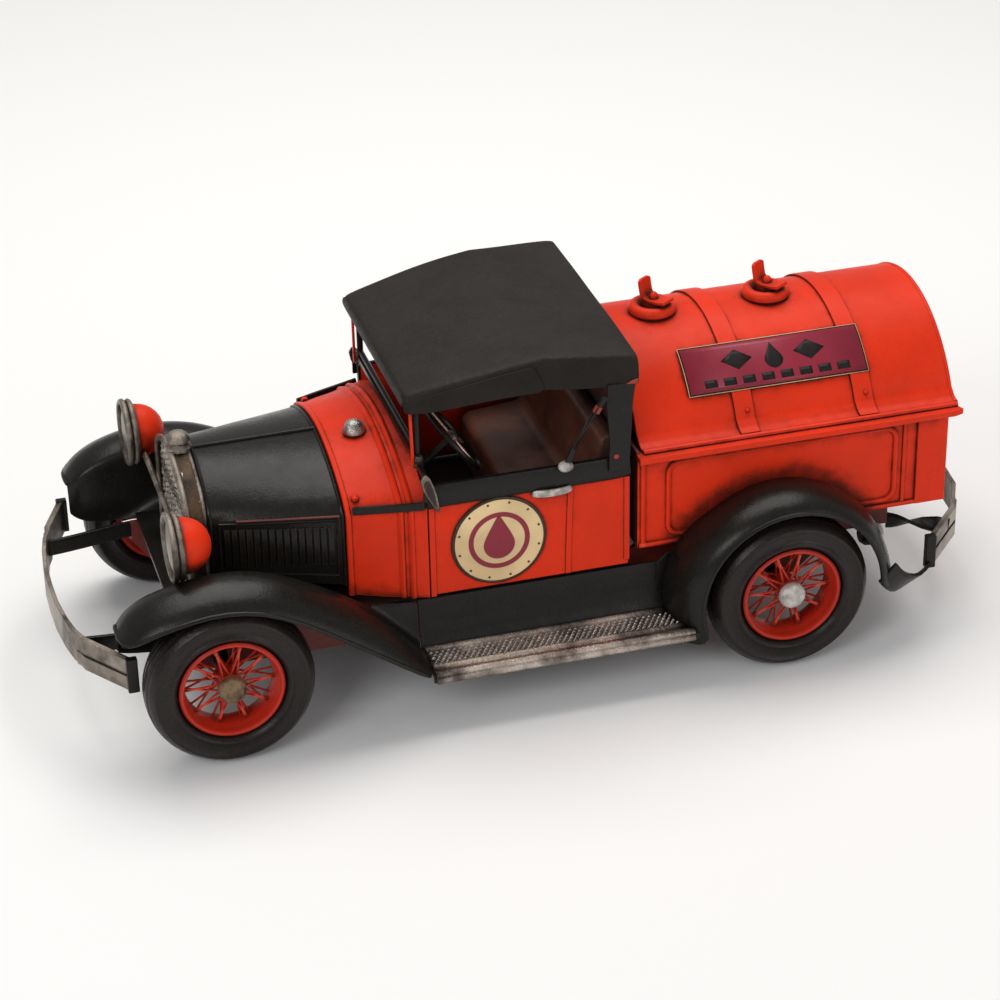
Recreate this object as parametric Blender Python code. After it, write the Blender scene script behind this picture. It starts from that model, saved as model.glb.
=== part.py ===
"""Tin toy tanker truck, as the separate sheet-metal pieces it is assembled from.

The truck faces -Y, its left side is +X, and its tyres stand on z = 0. The origin lies under
the middle of its overall box. Lengths below are in millimetres, and piece() makes them metres.
"""

import math

import bmesh
import bpy
from mathutils import Matrix, Vector

MM = 0.001
GAP = 0.3

# Wheels and running gear
FRONT_AXLE_Y = -95.5
WHEELBASE = 165.0
REAR_AXLE_Y = FRONT_AXLE_Y + WHEELBASE
TYRE_RADIUS = 24.1
TYRE_BORE = 15.4
TYRE_HALF_WIDTH = 6.2
WHEEL_X = 51.2
SPOKES = 12
AXLE_RADIUS = 1.5
AXLE_SLEEVE_RADIUS = 2.4

# Chassis
RAIL_X = 31.0
RAIL_THICKNESS = 1.5
RAIL_BOTTOM = 17.5
RAIL_TOP = 32.2
RAIL_REAR_TOP = 38.0
PAN_TOP = 33.7
BUMPER_LENGTH_HALF = 137.5
FRONT_BUMPER_BOTTOM = 24.0
REAR_BUMPER_BOTTOM = 21.0
BUMPER_HEIGHT = 10.0

# Body
RADIATOR_FRONT_Y = -99.5
RADIATOR_REAR_Y = -93.8
HOOD_REAR_Y = -56.8
COWL_REAR_Y = -34.4
CAB_REAR_Y = 24.9
CAB_HALF_WIDTH = 40.2
BELT_TOP = 69.6
SHEET = 1.0

# Bed and tank
BED_FRONT_Y = 27.5
BED_REAR_Y = 122.8
BED_HALF_WIDTH = 40.0
BED_BOTTOM = 38.3
BED_TOP = 69.3
TANK_FRONT_Y = 29.0
TANK_REAR_Y = 125.6
TANK_TOP = 93.4
TANK_RADIUS = 39.3
BAND_YS = (61.8, 98.3)
WING_TURN = math.radians(-55)
FILLER_YS = (45.2, 80.3)

# Colour, roughness and metallic value of each finish
FINISHES = {
    "red enamel": ((0.60, 0.045, 0.015), 0.38, 0.0),
    "black enamel": ((0.016, 0.015, 0.013), 0.40, 0.0),
    "aged silver": ((0.50, 0.46, 0.40), 0.42, 0.9),
    "rubber": ((0.014, 0.014, 0.013), 0.62, 0.0),
    "seat enamel": ((0.20, 0.040, 0.018), 0.50, 0.0),
}


# ---------------------------------------------------------------- shapes

def on_axis(axis, across, up, along):
    """A point whose long coordinate runs along the named axis."""
    return {"X": (along, across, up), "Y": (across, along, up), "Z": (across, up, along)}[axis]


def prism(outline, axis, low, high):
    """A flat outline pushed along an axis from low to high."""
    shape = bmesh.new()
    corners = [shape.verts.new(on_axis(axis, a, b, low)) for a, b in outline]
    pushed = bmesh.ops.extrude_face_region(shape, geom=[shape.faces.new(corners)])["geom"]
    step = Vector(on_axis(axis, 0.0, 0.0, high - low))
    moved = [item for item in pushed if isinstance(item, bmesh.types.BMVert)]
    bmesh.ops.translate(shape, vec=step, verts=moved)
    bmesh.ops.recalc_face_normals(shape, faces=shape.faces)
    return shape


def block(low, high):
    """A box between two corners."""
    outline = [(low[0], low[1]), (high[0], low[1]), (high[0], high[1]), (low[0], high[1])]
    return prism(outline, "Z", low[2], high[2])


def turned(profile, axis, centre, steps, ring=False):
    """A profile of (radius, along) turned round an axis. A ring's profile is a closed loop."""
    shape = bmesh.new()
    verts = [shape.verts.new(on_axis(axis, radius, 0.0, along)) for radius, along in profile]
    pairs = list(zip(verts, verts[1:])) + ([(verts[-1], verts[0])] if ring else [])
    edges = [shape.edges.new(pair) for pair in pairs]
    bmesh.ops.spin(shape, geom=verts + edges, cent=(0, 0, 0), axis=on_axis(axis, 0, 0, 1),
                   angle=2 * math.pi, steps=steps, use_merge=True, use_duplicate=False)
    bmesh.ops.remove_doubles(shape, verts=shape.verts, dist=1e-4)
    bmesh.ops.recalc_face_normals(shape, faces=shape.faces)
    bmesh.ops.translate(shape, vec=centre, verts=shape.verts)
    return shape


def surface(sections):
    """A sheet through open section lines that all have the same number of points."""
    shape = bmesh.new()
    rows = [[shape.verts.new(point) for point in section] for section in sections]
    for near, far in zip(rows, rows[1:]):
        for a, b, c, d in zip(near, near[1:], far[1:], far):
            shape.faces.new((a, b, c, d))
    return shape


def rod(path, radius, sides):
    """A round rod along a list of points."""
    shape = bmesh.new()
    points = [Vector(point) for point in path]
    loops = []
    for index, point in enumerate(points):
        before = points[max(index - 1, 0)]
        after = points[min(index + 1, len(points) - 1)]
        turn = (after - before).to_track_quat("Z", "Y").to_matrix().to_4x4()
        made = bmesh.ops.create_circle(shape, segments=sides, radius=radius, cap_ends=False,
                                       matrix=Matrix.Translation(point) @ turn)["verts"]
        loops.append([edge for edge in shape.edges if edge.verts[0] in made])
    for near, far in zip(loops, loops[1:]):
        bmesh.ops.bridge_loops(shape, edges=near + far)
    bmesh.ops.holes_fill(shape, edges=shape.edges, sides=0)
    bmesh.ops.recalc_face_normals(shape, faces=shape.faces)
    return shape


def arc(centre, radius, start, end, count):
    """Points of an arc in degrees, with both ends."""
    angles = [math.radians(start + (end - start) * i / count) for i in range(count + 1)]
    return [(centre[0] + radius * math.cos(a), centre[1] + radius * math.sin(a)) for a in angles]


def other_side(sections):
    """Sections of the left side made into sections of the right side."""
    return [[(-x, y, z) for x, y, z in reversed(section)] for section in sections]


def flip_x(points):
    """An outline of (x, y) points of the left side made into one of the right side."""
    return [(-x, y) for x, y in reversed(points)]


# ---------------------------------------------------------------- objects

def new_object(name, shape, origin=(0, 0, 0)):
    """An object in metres from a shape in millimetres, with its origin at a point."""
    bmesh.ops.translate(shape, vec=-Vector(origin), verts=shape.verts)
    bmesh.ops.scale(shape, vec=(MM, MM, MM), verts=shape.verts)
    mesh = bpy.data.meshes.new(name)
    shape.to_mesh(mesh)
    shape.free()
    mesh.shade_smooth()
    mesh.set_sharp_from_angle(angle=math.radians(35))
    made = bpy.data.objects.new(name, mesh)
    made.location = Vector(origin) * MM
    bpy.context.scene.collection.objects.link(made)
    return made


def paint(made, finish):
    """Gives an object its own Principled material."""
    colour, roughness, metallic = FINISHES[finish]
    coat = bpy.data.materials.new(made.name + " " + finish)
    coat.use_nodes = True
    shader = coat.node_tree.nodes["Principled BSDF"]
    shader.inputs["Base Color"].default_value = (*colour, 1.0)
    shader.inputs["Roughness"].default_value = roughness
    shader.inputs["Metallic"].default_value = metallic
    coat.diffuse_color = (*colour, 1.0)
    made.data.materials.clear()
    made.data.materials.append(coat)


def piece(name, shape, finish, origin=(0, 0, 0)):
    made = new_object(name, shape, origin)
    paint(made, finish)
    return made


def pressed(name, sections, finish, thickness=SHEET):
    """A sheet-metal pressing: a surface with a wall thickness on its inner side."""
    made = piece(name, surface(sections), finish)
    wall = made.modifiers.new("wall", "SOLIDIFY")
    wall.thickness = thickness * MM
    wall.offset = -1.0
    wall.use_even_offset = True
    return made


def combine(made, operation, tool_name, shape):
    """Cuts or joins a tool shape with an EXACT Boolean, and hides the tool."""
    tool = new_object(tool_name, shape)
    tool.hide_render = True
    tool.display_type = "WIRE"
    step = made.modifiers.new(tool_name, "BOOLEAN")
    step.operation = operation
    step.solver = "EXACT"
    step.object = tool


def baked_mesh(made):
    """The object's mesh with its modifiers applied, for pieces that share it."""
    bpy.context.view_layer.update()
    graph = bpy.context.evaluated_depsgraph_get()
    return bpy.data.meshes.new_from_object(made.evaluated_get(graph))


SIDES = (("left", 1), ("right", -1))
WHEELS = [(end + "_" + side, sign, y) for end, y in (("front", FRONT_AXLE_Y), ("rear", REAR_AXLE_Y))
          for side, sign in SIDES]


# ---------------------------------------------------------------- wheels

def make_tyres():
    half = TYRE_HALF_WIDTH
    profile = [(TYRE_BORE, -4.4), (17.4, -5.8), (20.6, -half), (23.0, -4.6), (TYRE_RADIUS, -2.0),
               (TYRE_RADIUS, 2.0), (23.0, 4.6), (20.6, half), (17.4, 5.8), (TYRE_BORE, 4.4)]
    for place, sign, y in WHEELS:
        centre = (sign * WHEEL_X, y, TYRE_RADIUS)
        piece("tyre_" + place, turned(profile, "X", centre, 32, ring=True), "rubber", centre)


def make_wire_wheels():
    """One wheel is a rolled rim, a hub with a bore, and spokes that lean in and out by turns."""
    rim_outer = TYRE_BORE - GAP
    rim = [(rim_outer, -4.6), (rim_outer, 4.6), (13.0, 4.6), (12.6, 3.0), (12.6, -3.0), (13.0, -4.6)]
    hub = [(1.8, -4.8), (3.4, -4.8), (3.4, 3.9), (1.8, 3.9)]
    spokes = bmesh.new()
    for index in range(SPOKES):
        hub_x = 2.4 if index % 2 else -3.2
        bar = rod([(hub_x, 0, 2.5), (0.0, 0, 13.6)], 0.6, 4)
        bmesh.ops.rotate(bar, cent=(0, 0, 0), verts=bar.verts,
                         matrix=Matrix.Rotation(2 * math.pi * index / SPOKES, 3, "X"))
        part = bpy.data.meshes.new("spoke")
        bar.to_mesh(part)
        bar.free()
        spokes.from_mesh(part)
        bpy.data.meshes.remove(part)
    pattern = new_object("wheel_pattern", turned(rim, "X", (0, 0, 0), 28, ring=True))
    combine(pattern, "UNION", "wheel_spokes", spokes)
    combine(pattern, "UNION", "wheel_hub", turned(hub, "X", (0, 0, 0), 16, ring=True))
    shared = baked_mesh(pattern)
    pattern.hide_render = True
    pattern.display_type = "WIRE"
    for place, sign, y in WHEELS:
        wheel = bpy.data.objects.new("wire_wheel_" + place, shared.copy())
        wheel.location = Vector((sign * WHEEL_X, y, TYRE_RADIUS)) * MM
        wheel.rotation_euler = (0, 0, 0 if sign > 0 else math.pi)
        bpy.context.scene.collection.objects.link(wheel)
        paint(wheel, "red enamel")


def make_hub_caps():
    face = WHEEL_X + 3.9 + GAP
    profile = [(0.0, face + 2.2), (1.8, face + 2.0), (3.3, face + 1.3), (3.9, face + 0.4),
               (3.9, face), (0.0, face)]
    for place, sign, y in WHEELS:
        outward = [(radius, sign * along) for radius, along in profile]
        centre = (0, y, TYRE_RADIUS)
        piece("hub_cap_" + place, turned(outward, "X", centre, 16), "aged silver",
              (sign * face, y, TYRE_RADIUS))


def make_axles():
    end = WHEEL_X + 3.6
    shoulder = WHEEL_X - 4.8 - GAP
    profile = [(0.0, -end), (AXLE_RADIUS, -end), (AXLE_RADIUS, -shoulder),
               (AXLE_SLEEVE_RADIUS, -shoulder), (AXLE_SLEEVE_RADIUS, shoulder),
               (AXLE_RADIUS, shoulder), (AXLE_RADIUS, end), (0.0, end)]
    for name, y in (("front_axle", FRONT_AXLE_Y), ("rear_axle", REAR_AXLE_Y)):
        piece(name, turned(profile, "X", (0, y, TYRE_RADIUS), 16), "black enamel")


# ---------------------------------------------------------------- chassis

def make_frame_rails():
    """Each rail kicks up under the bed, and the axle sleeves run through it."""
    outline = [(-108.0, 26.0), (-102.0, RAIL_BOTTOM), (80.0, RAIL_BOTTOM), (92.0, 28.5), (108.5, 28.5),
               (108.5, 33.6), (104.0, RAIL_REAR_TOP), (34.0, RAIL_REAR_TOP), (26.0, RAIL_TOP),
               (-108.0, RAIL_TOP)]
    for side, sign in SIDES:
        low, high = sorted((sign * RAIL_X, sign * (RAIL_X + RAIL_THICKNESS)))
        rail = piece("frame_rail_" + side, prism(outline, "X", low, high), "red enamel")
        for y in (FRONT_AXLE_Y, REAR_AXLE_Y):
            hole = arc((y, TYRE_RADIUS), AXLE_SLEEVE_RADIUS + GAP, 0, 337.5, 15)
            combine(rail, "DIFFERENCE", f"axle_hole_{side}_{y:.0f}", prism(hole, "X", low - 1, high + 1))


def make_floor_pan():
    half = [(34.0, -106.0), (34.0, -58.0), (39.4, -52.0), (39.4, 25.5)]
    outline = half + flip_x(half)
    piece("floor_pan", prism(outline, "Z", RAIL_TOP + GAP, PAN_TOP), "black enamel")


def bumper_line(end, bend, middle):
    """The bowed plan line of a bumper from its right end to its left end."""
    left = [(10.0, middle[1] + 0.06 * (bend[1] - middle[1])),
            (20.0, middle[1] + 0.35 * (bend[1] - middle[1])), bend, end]
    return [(-x, y) for x, y in reversed(left)] + [middle] + left


def make_bumpers():
    front_y = -BUMPER_LENGTH_HALF
    rear_y = BUMPER_LENGTH_HALF
    front = bumper_line((48.0, front_y + 15.5), (30.0, front_y + 3.5), (0.0, front_y))
    rear = bumper_line((48.0, rear_y - 25.0), (30.0, rear_y - 5.5), (0.0, rear_y))
    rear.reverse()
    for name, line, low in (("front_bumper", front, FRONT_BUMPER_BOTTOM),
                            ("rear_bumper", rear, REAR_BUMPER_BOTTOM)):
        rows = [[(x, y, z) for x, y in line] for z in (low, low + BUMPER_HEIGHT)]
        pressed(name, rows, "aged silver", 1.3)


def make_bumper_arms():
    """Flat strips from the rail ends to the bumper bars."""
    front = [(27.6, -131.6), (28.8, -131.9), (32.4, -108.3), (31.1, -108.3)]
    rear = [(31.0, 108.8), (32.4, 108.8), (37.6, 120.8), (36.4, 121.4)]
    for side, sign in SIDES:
        for end, outline, low, high in (("front", front, 27.0, 32.0), ("rear", rear, 27.0, 30.8)):
            plan = outline if sign > 0 else flip_x(outline)
            name = f"{end}_bumper_arm_{side}"
            piece(name, prism(plan, "Z", low, high), "black enamel")


# ---------------------------------------------------------------- front end

def make_radiator():
    """A silvered casing with a shallow recess in its face, which holds the mesh grille."""
    low, high, half = 34.0, 60.4, 23.6
    shoulders = [(half - 1.4, 63.8), (16.0, 67.8), (8.0, 70.6), (0.0, 71.6)]
    outline = [(-half, low), (half, low), (half, high)] + shoulders
    outline += [(-x, z) for x, z in reversed(shoulders[:-1])] + [(-half, high)]
    shell = piece("radiator_shell", prism(outline, "Y", RADIATOR_FRONT_Y, RADIATOR_REAR_Y), "aged silver")
    opening = [(-19.5, 39.0), (19.5, 39.0), (19.5, 60.4), (12.0, 64.6), (-12.0, 64.6), (-19.5, 60.4)]
    recess_y = RADIATOR_FRONT_Y + 2.2
    combine(shell, "DIFFERENCE", "radiator_recess",
            prism(opening, "Y", RADIATOR_FRONT_Y - 1.0, recess_y))
    mesh = [(x * (1 - GAP / 19.0), 52.0 + (z - 52.0) * 0.975) for x, z in opening]
    piece("radiator_grille", prism(mesh, "Y", RADIATOR_FRONT_Y + 0.6, recess_y - GAP), "aged silver")
    cap = [(0.0, 76.8), (1.6, 76.6), (3.0, 75.8), (3.3, 74.6), (2.4, 73.6), (2.4, 72.0), (0.0, 72.0)]
    middle_y = (RADIATOR_FRONT_Y + RADIATOR_REAR_Y) / 2
    piece("radiator_cap", turned(cap, "Z", (0, middle_y, 0), 16), "aged silver")


def arched_section(y, half, low, shoulder, crown):
    """A body section: an arc from shoulder to shoulder over straight sides, from right to left."""
    rise = crown - shoulder
    radius = (half * half + rise * rise) / (2 * rise)
    reach = math.degrees(math.asin(half / radius))
    top = arc((0.0, crown - radius), radius, 90.0 + reach, 90.0 - reach, 10)
    line = [(-half, low), (-half, shoulder - 2.0)] + top + [(half, shoulder - 2.0), (half, low)]
    return [(x, y, z) for x, z in line]


def make_hood_and_cowl():
    hood = [arched_section(RADIATOR_REAR_Y + GAP, 23.8, 41.0, 60.4, 71.0),
            arched_section(-76.0, 28.9, 39.6, 61.0, 71.1),
            arched_section(HOOD_REAR_Y, 33.6, 38.0, 61.4, 71.2)]
    pressed("hood", hood, "black enamel")
    cowl = [arched_section(HOOD_REAR_Y + GAP, 34.0, 34.0, 61.6, 71.6),
            arched_section(-45.0, 37.4, 34.0, 62.2, 72.8),
            arched_section(COWL_REAR_Y, CAB_HALF_WIDTH, 34.0, 63.4, 75.0)]
    pressed("cowl", cowl, "red enamel")
    cap = [(0.0, 76.2), (2.0, 75.8), (3.2, 74.8), (3.7, 73.4), (0.0, 73.4)]
    piece("cowl_filler_cap", turned(cap, "Z", (7.5, -47.0, 0), 16), "aged silver")


def make_headlamps():
    """Each lamp is a bullet bowl with a broad rim, and a tie bar runs between them."""
    x, y, z = 35.6, -106.5, 60.2
    profile = [(0.0, 11.4), (3.6, 10.6), (6.2, 8.6), (7.6, 5.9), (8.0, 3.8), (8.0, 2.0),
               (9.8, 1.7), (10.1, 0.4), (9.5, -0.8), (8.8, -0.8), (8.6, 0.3), (0.0, 0.3)]
    for side, sign in SIDES:
        piece("headlamp_" + side, turned(profile, "Y", (sign * x, y, z), 24), "red enamel")
    bar_y, bar_z = -102.2, 55.6
    reach = 28.3
    piece("headlamp_bar", rod([(-reach, bar_y, bar_z), (0, bar_y, bar_z), (reach, bar_y, bar_z)], 1.1, 8),
          "aged silver")


# ---------------------------------------------------------------- fenders and running boards

def front_fender_section(y, inner_x, inner_z, crown_z, lip_x, lip_z):
    """A round-shouldered section from the body side over the crown to the outer lip."""
    width = lip_x - inner_x
    rise = crown_z - inner_z
    drop = crown_z - lip_z
    return [(inner_x, y, inner_z),
            (inner_x + 0.14 * width, y, inner_z + 0.26 * rise),
            (inner_x + 0.30 * width, y, inner_z + 0.60 * rise),
            (inner_x + 0.45 * width, y, inner_z + 0.83 * rise),
            (inner_x + 0.60 * width, y, crown_z),
            (inner_x + 0.76 * width, y, crown_z - 0.24 * drop),
            (inner_x + 0.90 * width, y, crown_z - 0.58 * drop),
            (lip_x, y, lip_z)]


def make_front_fenders():
    """A clamshell wing from its tip over the wheel and down to the running board."""
    stations = [(-124.6, 42.0, 40.6, 43.0, 53.0, 41.0), (-121.5, 36.5, 38.0, 47.4, 56.0, 42.6),
                (-115.0, 30.0, 35.6, 51.4, 57.6, 46.0), (-105.0, 26.5, 35.0, 54.0, 58.0, 48.6),
                (-95.5, 26.5, 35.0, 55.0, 58.0, 49.4), (-86.0, 28.0, 35.0, 54.2, 58.0, 47.8),
                (-76.0, 31.0, 35.0, 50.4, 58.0, 43.0), (-62.0, 35.6, 35.0, 42.4, 58.0, 33.5),
                (-48.0, 41.4, 34.2, 31.5, 58.0, 23.4), (-38.6, 41.2, 33.4, 20.6, 58.0, 17.2)]
    left = [front_fender_section(*station) for station in stations]
    pressed("fender_front_left", left, "black enamel")
    pressed("fender_front_right", other_side(left), "black enamel")


def make_running_boards():
    """An apron that curves down from the body into the board, with a rolled outer edge."""
    line = [(40.8, 33.4), (41.0, 27.0), (41.6, 21.5), (44.0, 18.6), (48.0, 18.0), (55.0, 18.0),
            (57.6, 17.4), (58.0, 15.4)]
    left = [[(x, y, z) for x, z in line] for y in (-38.2, 33.8)]
    pressed("running_board_left", left, "black enamel")
    pressed("running_board_right", other_side(left), "black enamel")


def rear_fender_section(angle, swell=0.0, drop=0.0):
    """A section across the arch at an angle round the axle, with the crown swelled outwards."""
    line = [(40.6, 31.0), (43.6, 32.4), (48.0, 32.6), (53.0, 31.6), (56.8, 29.9), (58.0, 27.9)]
    away = math.radians(angle)
    points = []
    for index, (x, radius) in enumerate(line):
        share = 1.0 - index / (len(line) - 1)
        reach = radius + swell * share
        points.append((x, REAR_AXLE_Y - reach * math.cos(away),
                       TYRE_RADIUS + reach * math.sin(away) - drop * share))
    return points


def make_rear_fenders():
    """An arch round the wheel, from the running board to a tail that flares backwards."""
    stations = [(-12.0, 4.2, 0.0), (4.0, 4.2, 0.0), (20.0, 3.8, 0.0), (36.0, 1.8, 0.0)]
    stations += [(angle, 0.0, 0.0) for angle in (54.0, 72.0, 90.0, 108.0, 126.0, 144.0, 160.0)]
    stations += [(172.0, 3.0, 0.0), (183.0, 8.5, 0.0)]
    left = [rear_fender_section(*station) for station in stations]
    pressed("fender_rear_left", left, "black enamel")
    pressed("fender_rear_right", other_side(left), "black enamel")


# ---------------------------------------------------------------- cab

def make_cab_walls():
    """Side panels with a raised belt, and the wall behind the seat."""
    inner = CAB_HALF_WIDTH - 1.2
    line = [(inner, 34.0), (CAB_HALF_WIDTH, 34.0), (CAB_HALF_WIDTH, 63.4), (CAB_HALF_WIDTH + 0.9, 64.0),
            (CAB_HALF_WIDTH + 0.9, BELT_TOP - 0.6), (CAB_HALF_WIDTH, BELT_TOP), (inner, BELT_TOP)]
    for side, sign in SIDES:
        outline = line if sign > 0 else flip_x(line)
        piece("cab_side_" + side, prism(outline, "Y", COWL_REAR_Y + GAP, CAB_REAR_Y), "red enamel")
    back = block((-38.6, CAB_REAR_Y - 1.4, 34.0), (38.6, CAB_REAR_Y - 0.2, 99.0))
    piece("cab_back_wall", back, "black enamel")


def make_seat():
    outline = [(-4.0, 34.0), (23.0, 34.0), (23.0, 74.0), (17.5, 74.0), (14.5, 52.0), (-4.0, 50.0)]
    piece("bench_seat", prism(outline, "X", -36.0, 36.0), "seat enamel")


def make_windscreen():
    """A frame on top of the cowl, with a foot down each side of it."""
    half, top, bar, seat_z = 34.2, 93.6, 2.2, 71.8
    inner = half - bar
    left = [(inner, 76.2), (inner, seat_z), (41.5, seat_z), (41.5, 65.0), (42.6, 65.0), (42.6, 73.6),
            (half, 73.6), (half, top)]
    outline = left + flip_x(left)
    post_y = (-35.8, -34.2)
    frame = piece("windscreen_frame", prism(outline, "Y", *post_y), "black enamel")
    light = [(-inner, 78.6), (inner, 78.6), (inner, top - bar), (-inner, top - bar)]
    combine(frame, "DIFFERENCE", "windscreen_light", prism(light, "Y", post_y[0] - 1, post_y[1] + 1))


def make_dashboard_and_steering():
    """The wheel turns on a column that leans back from the dashboard."""
    top = [(35.0, 59.0), (32.0, 62.6), (20.0, 67.0), (0.0, 69.0)]
    outline = [(-35.0, 53.0), (35.0, 53.0)] + top + [(-x, z) for x, z in reversed(top[:-1])]
    piece("dashboard", prism(outline, "Y", -40.2, -39.0), "black enamel")
    centre = Vector((20.0, -21.2, 72.8))
    lean = Vector((0.0, 0.788, 0.616))
    foot = centre - lean * 21.0
    piece("steering_column", rod([tuple(foot), tuple(centre - lean * 1.6)], 1.1, 8), "aged silver")
    rim = turned(arc((11.6, 0.0), 0.85, 0, 300, 5), "Z", (0, 0, 0), 24, ring=True)
    hub = turned([(0.0, -1.2), (2.0, -1.2), (2.0, 0.9), (0.0, 1.2)], "Z", (0, 0, 0), 12)
    bars = bmesh.new()
    for index in range(4):
        angle = math.radians(45 + 90 * index)
        bar = rod([(1.2 * math.cos(angle), 1.2 * math.sin(angle), 0),
                   (11.4 * math.cos(angle), 11.4 * math.sin(angle), 0)], 0.55, 6)
        part = bpy.data.meshes.new("bar")
        bar.to_mesh(part)
        bar.free()
        bars.from_mesh(part)
        bpy.data.meshes.remove(part)
    # The bars meet at the hub, so the hub is joined last.
    pattern = new_object("steering_pattern", rim)
    combine(pattern, "UNION", "steering_bars", bars)
    combine(pattern, "UNION", "steering_hub", hub)
    wheel = bpy.data.objects.new("steering_wheel", baked_mesh(pattern))
    pattern.hide_render = True
    pattern.display_type = "WIRE"
    wheel.location = centre * MM
    wheel.rotation_euler = lean.to_track_quat("Z", "Y").to_euler()
    bpy.context.scene.collection.objects.link(wheel)
    paint(wheel, "black enamel")


def roof_section(y, half, edge_z, crown_z, drop):
    """Valance, bent edge, and a slightly crowned top, from right to left."""
    left = [(half * 0.5, crown_z - 0.1), (half - 1.2, edge_z + 0.3), (half, edge_z - 1.0),
            (half + 0.8, edge_z - drop)]
    line = [(-x, z) for x, z in reversed(left)] + [(0.0, crown_z)] + left
    return [(x, y, z) for x, z in line]


def make_roof():
    sections = [roof_section(-39.0, 35.0, 94.4, 95.0, 3.0), roof_section(-37.4, 35.8, 95.8, 96.8, 5.4),
                roof_section(-20.0, 38.0, 99.6, 100.8, 6.6), roof_section(-1.0, 39.2, 102.4, 103.4, 8.6),
                roof_section(14.0, 40.6, 101.8, 103.0, 9.0), roof_section(27.2, 41.6, 100.8, 102.2, 7.6)]
    roof = pressed("roof", sections, "black enamel", 1.1)
    flap = [(-41.2, 99.6), (-42.2, 92.6), (42.2, 92.6), (41.2, 99.6), (20.0, 101.0), (0.0, 101.4),
            (-20.0, 101.0)]
    combine(roof, "UNION", "roof_rear_flap", prism(flap, "Y", 26.0, 27.0))


def make_landau_irons():
    for side, sign in SIDES:
        path = [(42.6, 6.0, 70.8), (42.9, 6.6, 76.0), (43.3, 11.0, 83.0), (43.8, 16.4, 89.0)]
        shape = rod([(sign * x, y, z) for x, y, z in path], 0.9, 6)
        piece("landau_iron_" + side, shape, "aged silver")


# ---------------------------------------------------------------- bed and tank

def make_bed():
    """An open-ended tub with outward rails, closed behind by the tailgate."""
    side = [(BED_HALF_WIDTH, BED_BOTTOM), (BED_HALF_WIDTH, BED_TOP - 1.6), (44.0, BED_TOP - 1.6),
            (44.0, BED_TOP)]
    outline = side + [(-x, z) for x, z in reversed(side)]
    bed = piece("bed_box", prism(outline, "Y", BED_FRONT_Y, BED_REAR_Y), "red enamel")
    inner = BED_HALF_WIDTH - 1.2
    hollow = block((-inner, BED_FRONT_Y + 1.2, BED_BOTTOM + 1.2), (inner, BED_REAR_Y + 5, BED_TOP + 5))
    combine(bed, "DIFFERENCE", "bed_hollow", hollow)
    gate_y = BED_REAR_Y - 1.4
    gate = block((-inner + GAP, gate_y, BED_BOTTOM + 1.5), (inner - GAP, gate_y + 1.2, BED_TOP - 0.6))
    piece("tailgate", gate, "red enamel")


def tank_line(grow, count=20):
    """The tank's arch as an arc of a circle, from right foot to left foot."""
    centre_z = TANK_TOP - TANK_RADIUS
    radius = TANK_RADIUS + grow
    foot = math.degrees(math.asin((BED_TOP + GAP - centre_z) / radius))
    return arc((0.0, centre_z), radius, 180.0 - foot, foot, count)


def make_tank():
    """A hollow arch that stands on the bed's rails by two flanges, with a wall at each end."""
    foot_z = BED_TOP + GAP
    arch = tank_line(0.0)
    lip = [(arch[-2][0] - 0.2, foot_z + 2.2), (39.6, foot_z + 0.9), (39.6, foot_z)]
    outline = [(-x, z) for x, z in reversed(lip)] + arch[2:-2] + lip
    tank = piece("tank_shell", prism(outline, "Y", TANK_FRONT_Y, TANK_REAR_Y), "red enamel")
    hollow = tank_line(-1.2)
    hollow = [(hollow[0][0], foot_z - 2.0)] + hollow + [(hollow[-1][0], foot_z - 2.0)]
    combine(tank, "DIFFERENCE", "tank_hollow", prism(hollow, "Y", TANK_FRONT_Y + 1.2, TANK_REAR_Y - 1.2))


def make_tank_bands():
    for name, y in zip(("tank_band_front", "tank_band_rear"), BAND_YS):
        line = tank_line(GAP + 0.8)[2:-2]
        rows = [[(x, y + offset, z) for x, z in line] for offset in (-2.9, 2.9)]
        pressed(name, rows, "red enamel", 0.8)


def make_fillers():
    """A round collar on the tank, and a bent wing handle that turns in it."""
    base = TANK_TOP + GAP
    collar = [(3.2, base), (5.8, base), (6.4, base + 1.3), (5.8, base + 2.5), (4.4, base + 2.8),
              (3.2, base + 2.2)]
    for name, y in zip(("front", "rear"), FILLER_YS):
        piece("filler_collar_" + name, turned(collar, "Z", (0, y, 0), 20, ring=True), "red enamel")
        strap_z = base + 3.1
        strap = [(y - 3.0, strap_z), (y + 5.4, strap_z), (y + 5.4, strap_z + 1.0), (y - 1.9, strap_z + 1.2),
                 (y - 2.1, strap_z + 6.4), (y - 3.0, strap_z + 6.2)]
        wing = piece("filler_wing_" + name, prism(strap, "X", -2.2, 2.2), "red enamel", (0, y, base))
        post = turned([(0.0, base), (2.6, base), (2.6, strap_z + 0.5), (0.0, strap_z + 0.5)], "Z",
                      (0, y, 0), 12)
        combine(wing, "UNION", "filler_post_" + name, post)
        wing.rotation_euler.z = WING_TURN


def make_tail_lamp():
    profile = [(0.0, 0.0), (2.2, 0.0), (3.0, 1.2), (3.2, 3.4), (2.7, 5.2), (1.4, 6.3), (0.0, 6.7)]
    piece("tail_lamp", turned(profile, "Y", (36.4, 98.2, 28.2), 16), "black enamel")


for old in list(bpy.data.objects):
    bpy.data.objects.remove(old, do_unlink=True)

make_tyres()
make_wire_wheels()
make_hub_caps()
make_axles()
make_frame_rails()
make_floor_pan()
make_bumpers()
make_bumper_arms()
make_radiator()
make_hood_and_cowl()
make_headlamps()
make_front_fenders()
make_running_boards()
make_rear_fenders()
make_cab_walls()
make_seat()
make_windscreen()
make_dashboard_and_steering()
make_roof()
make_landau_irons()
make_bed()
make_tank()
make_tank_bands()
make_fillers()
make_tail_lamp()
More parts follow.
